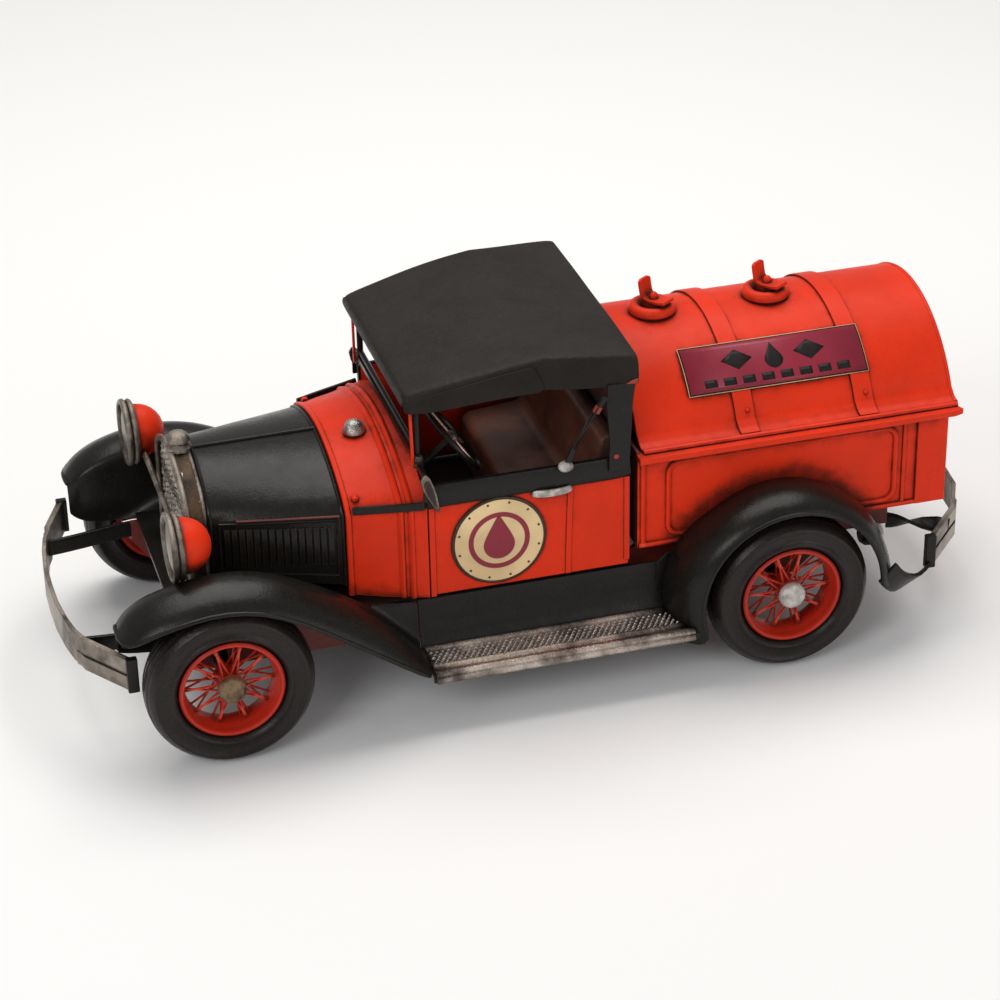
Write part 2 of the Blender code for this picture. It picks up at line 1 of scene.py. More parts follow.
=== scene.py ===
"""Looks of the tin toy tanker truck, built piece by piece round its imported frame.

The truck faces -Y, its left side is +X and its tyres stand on z = 0. Lengths in this file are in
millimetres, and finished() makes them metres.
"""

import math

import bmesh
import bpy
from mathutils import Matrix, Vector


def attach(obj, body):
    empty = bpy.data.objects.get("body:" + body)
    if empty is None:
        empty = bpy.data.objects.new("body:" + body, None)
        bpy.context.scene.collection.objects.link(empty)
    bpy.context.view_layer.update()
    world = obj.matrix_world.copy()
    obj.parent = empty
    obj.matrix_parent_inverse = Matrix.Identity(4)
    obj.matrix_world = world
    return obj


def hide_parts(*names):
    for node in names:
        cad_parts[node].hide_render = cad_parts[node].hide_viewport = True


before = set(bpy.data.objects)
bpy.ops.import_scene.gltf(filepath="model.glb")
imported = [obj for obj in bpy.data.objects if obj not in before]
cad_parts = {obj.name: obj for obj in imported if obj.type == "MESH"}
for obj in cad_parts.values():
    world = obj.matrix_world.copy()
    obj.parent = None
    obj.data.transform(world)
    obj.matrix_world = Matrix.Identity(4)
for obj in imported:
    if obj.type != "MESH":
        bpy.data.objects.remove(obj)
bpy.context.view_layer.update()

# ---------------- tyres
# Black rubber rings with a rounded tread, and a thin bead inside and outside each hollow sidewall.
# Each is moulded in one piece, stretched over its rim, and scuffed brown where it has rubbed.
MM = 0.001
SIDES = {"left": 1, "right": -1}
WHEEL_X = 51.2
AXLE_Z = 24.1
REAR_AXLE_Y = 69.5
EDGE_REACH = 0.00045  # metres, as a shader reads it
BUMP_DEPTH = 0.0006  # metres
WHEELS = [(end + "_" + side, sign, y) for end, y in (("front", -95.5), ("rear", REAR_AXLE_Y))
          for side, sign in SIDES.items()]


def node(tree, kind, settings, inputs):
    """A shader node with its settings, and with each input a value or a link."""
    made = tree.nodes.new("ShaderNode" + kind)
    for key, value in settings.items():
        setattr(made, key, value)
    for key, value in inputs.items():
        if isinstance(value, bpy.types.NodeSocket):
            tree.links.new(value, made.inputs[key])
        else:
            made.inputs[key].default_value = value
    return made


def worn_and_shaded_coat_group():
    """Hand-brushed paint: mottled, with a brown wash and painted shade in the hollows, and rubs on the
    edges.
    """
    group = bpy.data.node_groups.new("worn and shaded coat", "ShaderNodeTree")
    values = ("Mottle", "Wash And Shade Share", "Rub Share", "Chips", "Roughness", "Reach", "Fineness")
    for name in ("Paint", "Wash And Shade", "Rub"):
        group.interface.new_socket(name, in_out="INPUT", socket_type="NodeSocketColor")
    for name in values:
        group.interface.new_socket(name, in_out="INPUT", socket_type="NodeSocketFloat")
    for name, kind in (("Color", "Color"), ("Roughness", "Float"), ("Height", "Float")):
        group.interface.new_socket(name, in_out="OUTPUT", socket_type="NodeSocket" + kind)
    given = group.nodes.new("NodeGroupInput").outputs
    result = group.nodes.new("NodeGroupOutput").inputs

    def worked(operation, first, second):
        return node(group, "Math", {"operation": operation}, {0: first, 1: second}).outputs[0]

    def about_zero(value, share):
        return worked("MULTIPLY", worked("SUBTRACT", value, 0.5), share)

    def soft_step(value, low, high):
        return node(group, "MapRange", {"interpolation_type": "SMOOTHSTEP"},
                    {"Value": value, "From Min": low, "From Max": high, "To Max": 1}).outputs[0]

    def mixed(share, first, second):
        return node(group, "Mix", {"data_type": "RGBA"}, {0: share, 6: first, 7: second}).outputs[2]

    def noise(scale, detail, roughness):
        return node(group, "TexNoise", {}, {"Vector": point, "Scale": scale, "Detail": detail,
                                            "Roughness": roughness}).outputs["Fac"]

    place = group.nodes.new("ShaderNodeTexCoord").outputs["Object"]
    point = node(group, "VectorMath", {"operation": "SCALE"},
                 {"Vector": place, "Scale": given["Fineness"]}).outputs["Vector"]
    blotch, grain = noise(210, 4, 0.62), noise(1500, 2, 0.5)
    # Painted shade: ambient occlusion from this piece and its neighbours darkens the paint towards the wash
    # colour in hollows, between parts and under things.
    hollow = node(group, "AmbientOcclusion", {"samples": 6, "only_local": False},
                  {"Distance": given["Reach"]}).outputs["AO"]
    edge = node(group, "AmbientOcclusion", {"samples": 6, "inside": True, "only_local": True},
                {"Distance": EDGE_REACH}).outputs["AO"]
    tone = worked("MULTIPLY", soft_step(noise(42, 3, 0.55), 0.36, 0.7), given["Mottle"])
    colour = mixed(tone, given["Paint"], given["Wash And Shade"])
    depth = worked("ADD", worked("SUBTRACT", 1, hollow), about_zero(blotch, 0.55))
    wash_and_shade = worked("MULTIPLY", soft_step(depth, 0.07, 0.5), given["Wash And Shade Share"])
    colour = mixed(wash_and_shade, colour, given["Wash And Shade"])
    worn = worked("ADD", worked("SUBTRACT", 1, edge), about_zero(blotch, 0.9))
    rub = worked("MULTIPLY", soft_step(worn, 0.42, 0.66), given["Rub Share"])
    flecks = worked("MULTIPLY", soft_step(noise(330, 5, 0.7), 0.69, 0.72), given["Chips"])
    rub = worked("MAXIMUM", rub, flecks)
    colour = mixed(rub, colour, given["Rub"])
    colour = mixed(worked("MULTIPLY", soft_step(grain, 0.35, 0.7), 0.05), colour, given["Rub"])
    shine = worked("ADD", given["Roughness"], about_zero(blotch, 0.28))
    shine = worked("ADD", shine, worked("MULTIPLY", wash_and_shade, 0.22))
    height = worked("ADD", worked("MULTIPLY", blotch, 0.6), worked("MULTIPLY", grain, 0.25))
    height = worked("SUBTRACT", height, worked("MULTIPLY", rub, 0.35))
    group.links.new(colour, result["Color"])
    group.links.new(shine, result["Roughness"])
    group.links.new(height, result["Height"])
    return group


WORN_AND_SHADED_COAT = worn_and_shaded_coat_group()


def coat(name, paint, wash_and_shade, rub, mottle=0.25, wash_and_shade_share=0.9, rub_share=0.5, chips=0.5,
         roughness=0.4, reach=0.004, metallic=0, relief=0.12, specular=0.5, fineness=1):
    """A worn finish with painted shade, for a slot: colours are linear, and relief is the bump's strength.
    """
    finish = bpy.data.materials.new(name)
    finish.use_nodes = True
    tree = finish.node_tree
    shader = tree.nodes["Principled BSDF"]
    worn = tree.nodes.new("ShaderNodeGroup")
    worn.node_tree = WORN_AND_SHADED_COAT
    values = {"Paint": (*paint, 1), "Wash And Shade": (*wash_and_shade, 1), "Rub": (*rub, 1), "Mottle": mottle,
              "Wash And Shade Share": wash_and_shade_share, "Rub Share": rub_share, "Chips": chips,
              "Roughness": roughness, "Reach": reach, "Fineness": fineness}
    for key, value in values.items():
        worn.inputs[key].default_value = value
    tree.links.new(worn.outputs["Color"], shader.inputs["Base Color"])
    tree.links.new(worn.outputs["Roughness"], shader.inputs["Roughness"])
    bump = node(tree, "Bump", {}, {"Height": worn.outputs["Height"], "Strength": relief,
                                   "Distance": BUMP_DEPTH})
    tree.links.new(bump.outputs["Normal"], shader.inputs["Normal"])
    shader.inputs["Metallic"].default_value = metallic
    shader.inputs["Specular IOR Level"].default_value = specular
    return finish


def on_axis(axis, across, up, along):
    """A point whose long coordinate runs along the named axis."""
    return {"X": (along, across, up), "Y": (across, along, up), "Z": (across, up, along)}[axis]


def turned(profile, axis, centre, steps, ring=False):
    """A profile of (radius, along) turned round an axis. A ring's profile is a closed loop."""
    shape = bmesh.new()
    verts = [shape.verts.new(on_axis(axis, radius, 0, along)) for radius, along in profile]
    pairs = list(zip(verts, verts[1:])) + ([(verts[-1], verts[0])] if ring else [])
    edges = [shape.edges.new(pair) for pair in pairs]
    bmesh.ops.spin(shape, geom=verts + edges, cent=(0, 0, 0), axis=on_axis(axis, 0, 0, 1),
                   angle=2 * math.pi, steps=steps, use_merge=True, use_duplicate=False)
    bmesh.ops.remove_doubles(shape, verts=shape.verts, dist=1e-4)
    bmesh.ops.recalc_face_normals(shape, faces=shape.faces)
    bmesh.ops.translate(shape, vec=centre, verts=shape.verts)
    return shape


def rounded(levels=2):
    return "SUBSURF", {"levels": levels, "render_levels": levels}


def walled(thickness=1):
    return "SOLIDIFY", {"thickness": thickness * MM, "offset": -1, "use_even_offset": True}


def eased(width=0.25, segments=2):
    return "BEVEL", {"width": width * MM, "segments": segments, "limit_method": "ANGLE",
                     "angle_limit": math.radians(32), "harden_normals": True}


def finished(name, shape, finish, steps=(), body="root", stands_for="", sharp=40):
    """The object of a piece, in metres, on its CAD body, with its modifiers."""
    bmesh.ops.scale(shape, vec=(MM, MM, MM), verts=shape.verts)
    mesh = bpy.data.meshes.new(name)
    shape.to_mesh(mesh)
    shape.free()
    mesh.shade_smooth()
    if sharp:
        mesh.set_sharp_from_angle(angle=math.radians(sharp))
    mesh.materials.append(finish)
    made = bpy.data.objects.new(name, mesh)
    bpy.context.scene.collection.objects.link(made)
    for kind, settings in steps:
        step = made.modifiers.new(kind.lower(), kind)
        for key, value in settings.items():
            setattr(step, key, value)
    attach(made, body)
    if stands_for:
        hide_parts(stands_for)
    return made


def mirrored(shape):
    """The shape of a left piece turned into its right twin."""
    bmesh.ops.scale(shape, vec=(-1, 1, 1), verts=shape.verts)
    bmesh.ops.reverse_faces(shape, faces=shape.faces)
    return shape


def on_side(name, side, shape, finish, steps=(), stands_for="", sharp=40):
    """A fixed piece that is drawn on the left, finished on its own side."""
    return finished(f"{name}_{side}", shape if side == "left" else mirrored(shape), finish, steps,
                    stands_for=stands_for and f"{stands_for}_{side}", sharp=sharp)


rubber = coat("tyre rubber", (0.0075, 0.0072, 0.0068), (0.003, 0.0026, 0.0022),
              (0.24, 0.075, 0.03), mottle=0.3, rub_share=0.8, chips=0.5, roughness=0.34, relief=0.45,
              specular=0.26)
shoulder = [(15.4, 4.2), (15.7, 5.2), (16.2, 5.7), (16.6, 6.05), (16.9, 6.2), (17.2, 6.05),
            (17.6, 5.65), (18.4, 5.35), (19.6, 5.4), (20.6, 5.65), (21.2, 6), (21.5, 6.1),
            (21.9, 5.85), (22.3, 5.35), (22.9, 4.7), (23.4, 3.9), (23.45, 3.5),
            (23.75, 3.3), (24, 2.2), (24.05, 1.5), (23.8, 1.3), (23.8, 1), (24.1, 0.8)]
tyre_profile = shoulder + [(radius, -along) for radius, along in reversed(shoulder)]
for place, sign, y in WHEELS:
    tyre = turned(tyre_profile, "X", (sign * WHEEL_X, y, AXLE_Z), 72, ring=True)
    finished("tyre_ring_" + place, tyre, rubber, body="wheel_" + place, stands_for="tyre_" + place,
             sharp=60)

# ---------------- wire wheels
# A rolled tin rim and a turned hub, joined by two layers of thin crossed wires that are soldered
# at both ends, all dipped in the same red enamel.
# Its wide reach and strong wash share lay a brown wash and painted shade along the beads, panel edges and
# joints.
red = coat("red enamel", (0.72, 0.031, 0.006), (0.042, 0.008, 0.004), (0.8, 0.13, 0.06),
           mottle=0.15, wash_and_shade_share=0.94, rub_share=0.5, chips=0.1, roughness=0.4, reach=0.0065,
           specular=0.12)
wheel_red = coat("wheel red", (0.48, 0.02, 0.007), (0.04, 0.006, 0.003),
                 (0.7, 0.12, 0.06), mottle=0.25, wash_and_shade_share=0.92, rub_share=0.5, chips=0.2,
                 roughness=0.36, reach=0.0025, specular=0.25)


def ring_of(radius, count=8):
    """The outline of a round bar."""
    turns = [2 * math.pi * i / count for i in range(count)]
    return [(radius * math.cos(a), radius * math.sin(a)) for a in turns]


def swept(path, outline, twists=None, closed=False, up=(0, 0, 1)):
    """An outline of (side, up) carried along a path, and turned by a twist at each point."""
    shape = bmesh.new()
    points = [Vector(point) for point in path]
    last = len(points) - 1
    rings = []
    for index, point in enumerate(points):
        before = points[index - 1] if closed or index else point
        after = points[(index + 1) % len(points)] if closed or index < last else point
        along = (after - before).normalized()
        side = along.cross(Vector(up)).normalized()
        top = side.cross(along)
        turn = Matrix.Rotation(math.radians(twists[index]) if twists else 0, 3, along)
        verts = [shape.verts.new(point + turn @ (side * a + top * b)) for a, b in outline]
        rings.append([shape.edges.new(pair) for pair in zip(verts, verts[1:] + verts[:1])])
    pairs = list(zip(rings, rings[1:])) + ([(rings[-1], rings[0])] if closed else [])
    for near, far in pairs:
        bmesh.ops.bridge_loops(shape, edges=near + far)
    if not closed:
        bmesh.ops.holes_fill(shape, edges=rings[0] + rings[-1], sides=0)
    bmesh.ops.recalc_face_normals(shape, faces=shape.faces)
    return shape


def joined(shapes):
    """Several shapes as one."""
    whole = bmesh.new()
    for shape in shapes:
        part = bpy.data.meshes.new("part")
        shape.to_mesh(part)
        shape.free()
        whole.from_mesh(part)
        bpy.data.meshes.remove(part)
    return whole


SPOKE_PAIRS = 10
RIM_REACH = 13
RIM = [(15.1, -4.5), (15.1, 4.4), (15, 5), (14.5, 5.35), (13.9, 5.25), (13.55, 4.8),
       (13.45, 4), (13.2, 3), (12.8, 2.2), (12.6, 0.8), (12.6, -2.2), (13, -3.4),
       (13.4, -4.4), (13.9, -4.9), (14.6, -5)]
HUB = [(1.8, -4.7), (3.3, -4.7), (3.5, -4.2), (3.3, -3.4), (2.6, -2.6), (2.5, 1.2), (2.9, 1.9),
       (3.7, 2.3), (3.9, 2.9), (3.7, 3.5), (4, 3.8), (1.8, 3.9)]


def wheel_wires(count, hub_x, hub_radius, rim_x, lean, radius):
    """Pairs of wires that leave the hub side by side and cross on their way to the rim."""
    wires = []
    for index in range(count):
        for way in (-1, 1):
            start = 2 * math.pi * index / count
            end = start + way * math.radians(lean)
            wires.append(swept([(hub_x, hub_radius * math.sin(start), hub_radius * math.cos(start)),
                                (rim_x, RIM_REACH * math.sin(end), RIM_REACH * math.cos(end))],
                               ring_of(radius, 6), up=(1, 0, 0)))
    return wires


for place, sign, y in WHEELS:
    wires = wheel_wires(SPOKE_PAIRS, 2.7, 3.2, 0.9, 20, 0.38)
    wires += wheel_wires(SPOKE_PAIRS, -3.7, 3, -1.4, 24, 0.36)
    parts = [turned(RIM, "X", (0, 0, 0), 64, ring=True), turned(HUB, "X", (0, 0, 0), 32, ring=True)]
    wheel = joined(parts + wires)
    if sign < 0:
        mirrored(wheel)
    bmesh.ops.translate(wheel, vec=(sign * WHEEL_X, y, AXLE_Z), verts=wheel.verts)
    finished("spoked_wheel_" + place, wheel, wheel_red, body="wheel_" + place,
             stands_for="wire_wheel_" + place)

# ---------------- hub caps
# Short turned plugs pressed on the hubs. The rear ones keep their silver, and the front ones have
# gone brassy.
silver = coat("aged silver", (0.27, 0.23, 0.19), (0.022, 0.014, 0.01), (0.78, 0.71, 0.62),
              mottle=0.9, wash_and_shade_share=1, rub_share=0.85, chips=0.7, roughness=0.32, reach=0.0022,
              metallic=0.8, relief=1, fineness=3)
brassy = coat("tarnished brass", (0.27, 0.18, 0.1), (0.04, 0.018, 0.01),
              (0.66, 0.55, 0.4), mottle=0.95, rub_share=0.8, chips=1, roughness=0.4, metallic=0.6,
              relief=1, fineness=9)
white_silver = coat("worn white silver", (0.7, 0.67, 0.63), (0.12, 0.085, 0.065),
                    (0.92, 0.9, 0.86), mottle=0.65, rub_share=0.6, chips=0.9, roughness=0.36,
                    metallic=0.4, relief=1, fineness=7)
CAP_SEAT = WHEEL_X + 4.2
cap_profile = [(0, 2.35), (2.2, 2.3), (3.1, 2.15), (3.65, 1.8), (3.9, 1.2), (3.9, 0.1), (0, 0)]
for place, sign, y in WHEELS:
    cap = turned(cap_profile, "X", (0, 0, 0), 40)
    if sign < 0:
        mirrored(cap)
    bmesh.ops.translate(cap, vec=(sign * CAP_SEAT, y, AXLE_Z), verts=cap.verts)
    finished("hub_plug_" + place, cap, brassy if place.startswith("front") else white_silver,
             body="wheel_" + place, stands_for="hub_cap_" + place)

# ---------------- axles, rails and floor
# Black rods run through two red folded rails under a black tin floor. They are plain bent and
# soldered stock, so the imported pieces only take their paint.
black = coat("black enamel", (0.0075, 0.0074, 0.0062), (0.0028, 0.0024, 0.002),
             (0.11, 0.06, 0.042), mottle=0.25, wash_and_shade_share=0.8, rub_share=0.45, chips=0.55, roughness=0.3,
             relief=0.3, specular=0.22)
under_red = coat("underside red", (0.16, 0.012, 0.006), (0.02, 0.005, 0.003),
                 (0.45, 0.1, 0.06), mottle=0.5, rub_share=0.4, roughness=0.5)


def repaint(finish, *names):
    """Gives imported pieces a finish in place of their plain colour."""
    for name in names:
        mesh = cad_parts[name].data
        mesh.materials.clear()
        mesh.materials.append(finish)


repaint(black, "front_axle", "rear_axle", "floor_pan")
repaint(under_red, "frame_rail_left", "frame_rail_right")

# ---------------- bumpers
# Silvered tin strips bent round the front and rear. A second strip with a pressed groove is
# clamped over each end, and a black clip closes it.
dull_silver = coat("dull silver", (0.3, 0.255, 0.21), (0.03, 0.018, 0.012),
                   (0.72, 0.65, 0.57), mottle=1, wash_and_shade_share=1, rub_share=0.85, chips=1, roughness=0.36,
                   metallic=0.75, relief=1, fineness=2.2)


def strip_outline(low, height, thickness, groove=0):
    """A strip's section, with a groove along the middle of its outer face when it has one."""
    middle = low + height / 2
    face = [(thickness / 2, low), (thickness / 2, middle - 0.55), (thickness / 2 - groove, middle - 0.4),
            (thickness / 2 - groove, middle + 0.4), (thickness / 2, middle + 0.55),
            (thickness / 2, low + height)]
    return face + [(-thickness / 2, low + height), (-thickness / 2, low)]


def block(low, high):
    """A box between two corners."""
    shape = bmesh.new()
    bmesh.ops.create_cube(shape, size=1)
    bmesh.ops.scale(shape, vec=[b - a for a, b in zip(low, high)], verts=shape.verts)
    bmesh.ops.translate(shape, vec=[(a + b) / 2 for a, b in zip(low, high)], verts=shape.verts)
    return shape


BUMPER_Y = 137.5
for end, way, low, bend, left_tip, right_tip in (("front", -1, 24, 134, 122, 126.6),
                                                 ("rear", 1, 21, 132, 116.4, 116.4)):
    tips = {1: left_tip, -1: right_tip}
    halves = {sign: [(sign * x, y) for x, y in
                     ((10, BUMPER_Y - 0.2), (20, BUMPER_Y - 1.3), (27, bend + 0.9), (30.5, bend - 0.4),
                      (33, bend - (bend - tip) * 0.13), (48, tip))]
              for sign, tip in tips.items()}
    line = halves[-1][::-1] + [(0, BUMPER_Y)] + halves[1]
    line = [(x, way * (y - 0.7), 0) for x, y in line]
    if way < 0:
        line.reverse()
    bar = swept(line, strip_outline(low, 10, 1.3))
    finished(end + "_bumper_strip", bar, dull_silver, [eased(0.3)], stands_for=end + "_bumper")
    for side, sign in SIDES.items():
        tip = tips[sign]
        lap = [(29.2, bend - 0.1), (31.2, bend - 1.1), (33.2, bend - (bend - tip) * 0.13 - 0.1),
               (47.6, tip + 0.3)]
        lap = [(sign * x, way * (y - 0.1 if i < 2 else y), 0) for i, (x, y) in enumerate(lap)]
        if way * sign > 0:
            lap.reverse()
        finished(f"{end}_bumper_lap_{side}", swept(lap, strip_outline(low + 0.1, 9.8, 1.2, 0.75)),
                 dull_silver, [eased(0.2)])
        clip_y = sorted((way * (tip - 2), way * (tip + 1.2)))
        clip = block((46.6, clip_y[0], low - 0.4), (48.8, clip_y[1], low + 10.4))
        on_side(f"{end}_bumper_clip", side, clip, black, [eased(0.35)])

# ---------------- bumper arms
# Black tin strips between the rail ends and the bumpers. The rear ones are twisted by hand, and a
# broad stay ties each rear bumper end to the tail of its fender.


def flat_bar(half_wide, half_high):
    """The outline of a rectangular bar."""
    return [(-half_wide, -half_high), (half_wide, -half_high), (half_wide, half_high),
            (-half_wide, half_high)]


for side in SIDES:
    for end, path in (("front", [(31.8, -108, 29.8), (31.2, -113, 29.8), (30.4, -118, 29.6),
                                 (29.6, -124, 29.4), (28.8, -130, 29.3), (28.5, -133.2, 29.3)]),
                      ("rear", [(31.6, 108.6, 29), (32.6, 111.6, 28.8), (34, 115, 28.6),
                                (35.6, 118.6, 28.4), (37.2, 122.6, 28), (38.4, 126, 27.6)])):
        turns = [0, 18, 60, 96, 140, 180] if end == "rear" else None
        arm = swept(path, flat_bar(0.6, 2.5), twists=turns)
        on_side(f"{end}_twisted_arm", side, arm, black, [eased(0.2), rounded(1)],
                stands_for=end + "_bumper_arm")

    stay = swept([(56.4, 99.4, 27), (55.8, 101.4, 24), (53.8, 105, 20.6), (50.6, 110, 19),
                  (47.6, 115.4, 20.4)], [(-0.6, -4.4), (0.6, -4.4), (0.6, 3.2), (-0.6, 3.2)],
                 twists=[0, 8, 26, 50, 34])
    on_side("rear_stay", side, stay, black, [eased(0.2), rounded(1)])

# ---------------- radiator
# A bronzed band with a silver bead round each edge holds a pressed mesh face. A knurled cap is
# soldered on top.
bronze = coat("bronzed silver", (0.085, 0.052, 0.028), (0.009, 0.006, 0.005),
              (0.48, 0.4, 0.31), mottle=1, wash_and_shade_share=1, rub_share=0.9, chips=1, roughness=0.4,
              metallic=0.6, relief=1, specular=0.2, fineness=2.6)
mesh_silver = coat("mesh silver", (0.46, 0.41, 0.35), (0.035, 0.024, 0.018),
                   (0.92, 0.88, 0.8), mottle=0.25, wash_and_shade_share=1, rub_share=0.9, chips=0.4, roughness=0.28,
                   reach=0.0012, metallic=0.9, relief=0.5)
RADIATOR_LINE = [(23.6, 34), (23.6, 58), (23.3, 61), (22.2, 63.8), (19.6, 66.2), (16, 67.9),
                 (12, 69.4), (8, 70.6), (4, 71.3), (0, 71.6)]


def radiator_loop(grow):
    """The radiator's outline, grown outwards."""
    half = [(x + grow * min(1, x / 18), z + grow * (z - 50) / 22) for x, z in RADIATOR_LINE]
    return half + [(-x, z) for x, z in reversed(half[:-1])]


def prism(outline, axis, low, high):
    """A flat outline pushed along an axis from low to high."""
    shape = bmesh.new()
    face = shape.faces.new([shape.verts.new(on_axis(axis, a, b, low)) for a, b in outline])
    pushed = bmesh.ops.extrude_face_region(shape, geom=[face])["geom"]
    bmesh.ops.translate(shape, vec=on_axis(axis, 0, 0, high - low),
                        verts=[item for item in pushed if isinstance(item, bmesh.types.BMVert)])
    bmesh.ops.recalc_face_normals(shape, faces=shape.faces)
    return shape


band = swept([(x, -99.4, z) for x, z in radiator_loop(-0.9)],
             [(-0.8, 0), (0.8, 0), (0.8, -5.5), (-0.8, -5.5)], closed=True, up=(0, -1, 0))
finished("radiator_band", band, bronze, [eased(0.2)], stands_for="radiator_shell")
for label, y, size in (("front", -99.2, 1), ("rear", -94.3, 0.7)):
    bead = swept([(x, y, z) for x, z in radiator_loop(-0.5)], ring_of(size, 10), closed=True, up=(0, -1, 0))
    finished("radiator_bead_" + label, bead, silver)
finished("radiator_core", prism(radiator_loop(-1), "Y", -97, -95), black)
weave = bmesh.new()
bmesh.ops.create_grid(weave, x_segments=72, y_segments=96, size=0.5)
bmesh.ops.scale(weave, vec=(44, 34.6, 1), verts=weave.verts)
for vert in weave.verts:
    u, v = vert.co.x, vert.co.y
    ridge = math.sin(u * 2.6 + 1.1 * math.sin(v * 2.2)) * 0.28 + math.sin(v * 3.4 + u * 0.9) * 0.16
    vert.co = (u, -98.5 - ridge, 52.3 + v)
for way in (1, -1):
    bmesh.ops.bisect_plane(weave, geom=weave.verts[:] + weave.edges[:] + weave.faces[:],
                           plane_co=(way * 20.5, 0, 64), plane_no=(way * 0.62, 0, 1), clear_outer=True)
bmesh.ops.recalc_face_normals(weave, faces=weave.faces)
if sum(f.normal.y for f in weave.faces) > 0:
    bmesh.ops.reverse_faces(weave, faces=weave.faces)
finished("radiator_mesh", weave, mesh_silver, [walled(0.5)], stands_for="radiator_grille", sharp=0)
knob = turned([(0, 76.8), (1.2, 76.75), (2.4, 76.3), (3, 75.6), (3.4, 74.9), (3.4, 74.1),
               (2.7, 73.5), (2.9, 72.9), (3.9, 72.3), (4, 71.7), (0, 71.5)], "Z", (0, 0, 0), 36)
for vert in knob.verts:
    reach = math.hypot(vert.co.x, vert.co.y)
    if reach > 2.3:
        turn = math.atan2(vert.co.y, vert.co.x)
        pinch = 1 - 0.07 * (math.cos(12 * turn) > 0)
        vert.co.x *= pinch
        vert.co.y *= pinch
bmesh.ops.translate(knob, vec=(0, -96.6, 0), verts=knob.verts)
finished("radiator_knob", knob, silver, stands_for="radiator_cap")

# ---------------- hood
# Black folded tin with a centre hinge bead. Each side has a framed panel of pressed louvres under
# a thin red line.


def sheet(rows, facing):
    """Tin drawn out row by row, with its front towards a direction."""
    shape = bmesh.new()
    line = [shape.verts.new(point) for point in rows[0]]
    edges = [shape.edges.new(pair) for pair in zip(line, line[1:])]
    for row in rows[1:]:
        made = bmesh.ops.extrude_edge_only(shape, edges=edges)["geom"]
        fresh = {item for item in made if isinstance(item, bmesh.types.BMVert)}
        line = [next(e.other_vert(v) for e in v.link_edges if e.other_vert(v) in fresh) for v in line]
        for vert, point in zip(line, row):
            vert.co = point
        edges = [shape.edges.get(pair) for pair in zip(line, line[1:])]
    bmesh.ops.recalc_face_normals(shape, faces=shape.faces)
    shape.normal_update()
    if sum(f.normal.dot(Vector(facing)) * f.calc_area() for f in shape.faces) < 0:
        bmesh.ops.reverse_faces(shape, faces=shape.faces)
    return shape


def between(stations, y):
    """The values of a list of stations at a y between them."""
    for near, far in zip(stations, stations[1:]):
        if y <= far[0] + 1e-6:
            share = (y - near[0]) / (far[0] - near[0])
            return [a + (b - a) * share for a, b in zip(near[1:], far[1:])]
    return list(stations[-1][1:])


def arched(y, half, low, shoulder, crown, swell=0, count=22):
    """A body line: an arc from shoulder to shoulder over straight sides."""
    rise = crown - shoulder
    radius = (half * half + rise * rise) / (2 * rise)
    reach = math.asin(half / radius)
    angles = [reach * (1 - 2 * i / count) for i in range(count + 1)]
    grown = radius + swell
    top = [(grown * math.sin(a), y, crown - radius + grown * math.cos(a)) for a in angles]
    side = half + swell
    left = [(side, y, low), (side, y, (low + shoulder) / 2), (side, y, shoulder - 2.4),
            (side - 0.05, y, shoulder - 0.9)]
    right = [(-x, y, z) for x, y, z in reversed(left)]
    return left + top[1:-1] + right


# Each station: y, half width, low z, shoulder z, crown z.
HOOD = [(-93.5, 23.8, 41, 60.4, 71), (-76, 28.9, 39.6, 61, 71.1), (-56.8, 33.6, 38, 61.4, 71.2)]
rows = [arched(y, *between(HOOD, y)) for y in (-93.5, -92.9, -86, -76, -66, -57.4, -56.8)]
finished("hood_sheet", sheet(rows, (0, 0, 1)), black, [walled(1), eased(0.2)], stands_for="hood", sharp=0)
hinge = swept([(0, -93.3, 71.15), (0, -75, 71.25), (0, -57, 71.35)], ring_of(0.62, 10))
finished("hood_hinge", hinge, black)
for label, y in (("front", -93), ("rear", -57.2)):
    rim = swept([(x, y, z) for x, _, z in arched(y, *between(HOOD, y), 0.05)], ring_of(0.5),
                up=(0, 1, 0))
    finished("hood_bead_" + label, rim, black)


def hood_side(y):
    return between(HOOD, y)[0]


LOUVRE_COUNT = 15
LOUVRE_SECTION = [(-0.45, -0.75), (0, -0.75), (0.5, 0.35), (0.35, 0.7), (-0.45, 0.75)]
PANEL_FRONT, PANEL_REAR, PANEL_LOW, PANEL_HIGH = -90.6, -58.8, 43.4, 58.6
line_red = coat("dull red line", (0.13, 0.012, 0.007), (0.03, 0.006, 0.004),
                (0.5, 0.12, 0.07), mottle=0.6, rub_share=0.1, chips=0.1, roughness=0.45)
for side in SIDES:
    ribs = []
    for index in range(LOUVRE_COUNT):
        y = PANEL_FRONT + 1.8 + (PANEL_REAR - PANEL_FRONT - 3.6) * index / (LOUVRE_COUNT - 1)
        x = hood_side(y)
        rib_line = [(x - 0.2, y, 45.2), (x + 0.05, y, 45.7), (x + 0.15, y, 51), (x + 0.05, y, 56.3),
                    (x - 0.2, y, 56.8)]
        ribs.append(swept(rib_line, LOUVRE_SECTION, up=(0, 1, 0)))
    corners = [(hood_side(y) + 0.05, y, z)
               for y, z in ((PANEL_FRONT, PANEL_LOW), (PANEL_REAR, PANEL_LOW - 2),
                            (PANEL_REAR, PANEL_HIGH + 0.6), (PANEL_FRONT, PANEL_HIGH))]
    ribs.append(swept(corners, ring_of(0.5), closed=True, up=(1, 0.02, 0)))
    on_side("hood_louvres", side, joined(ribs), black)
    stripe = swept([(hood_side(-86) + 0.1, -86, 59.6), (hood_side(-58) + 0.1, -58, 60.4)], ring_of(0.32, 6))
    on_side("hood_line", side, stripe, line_red)

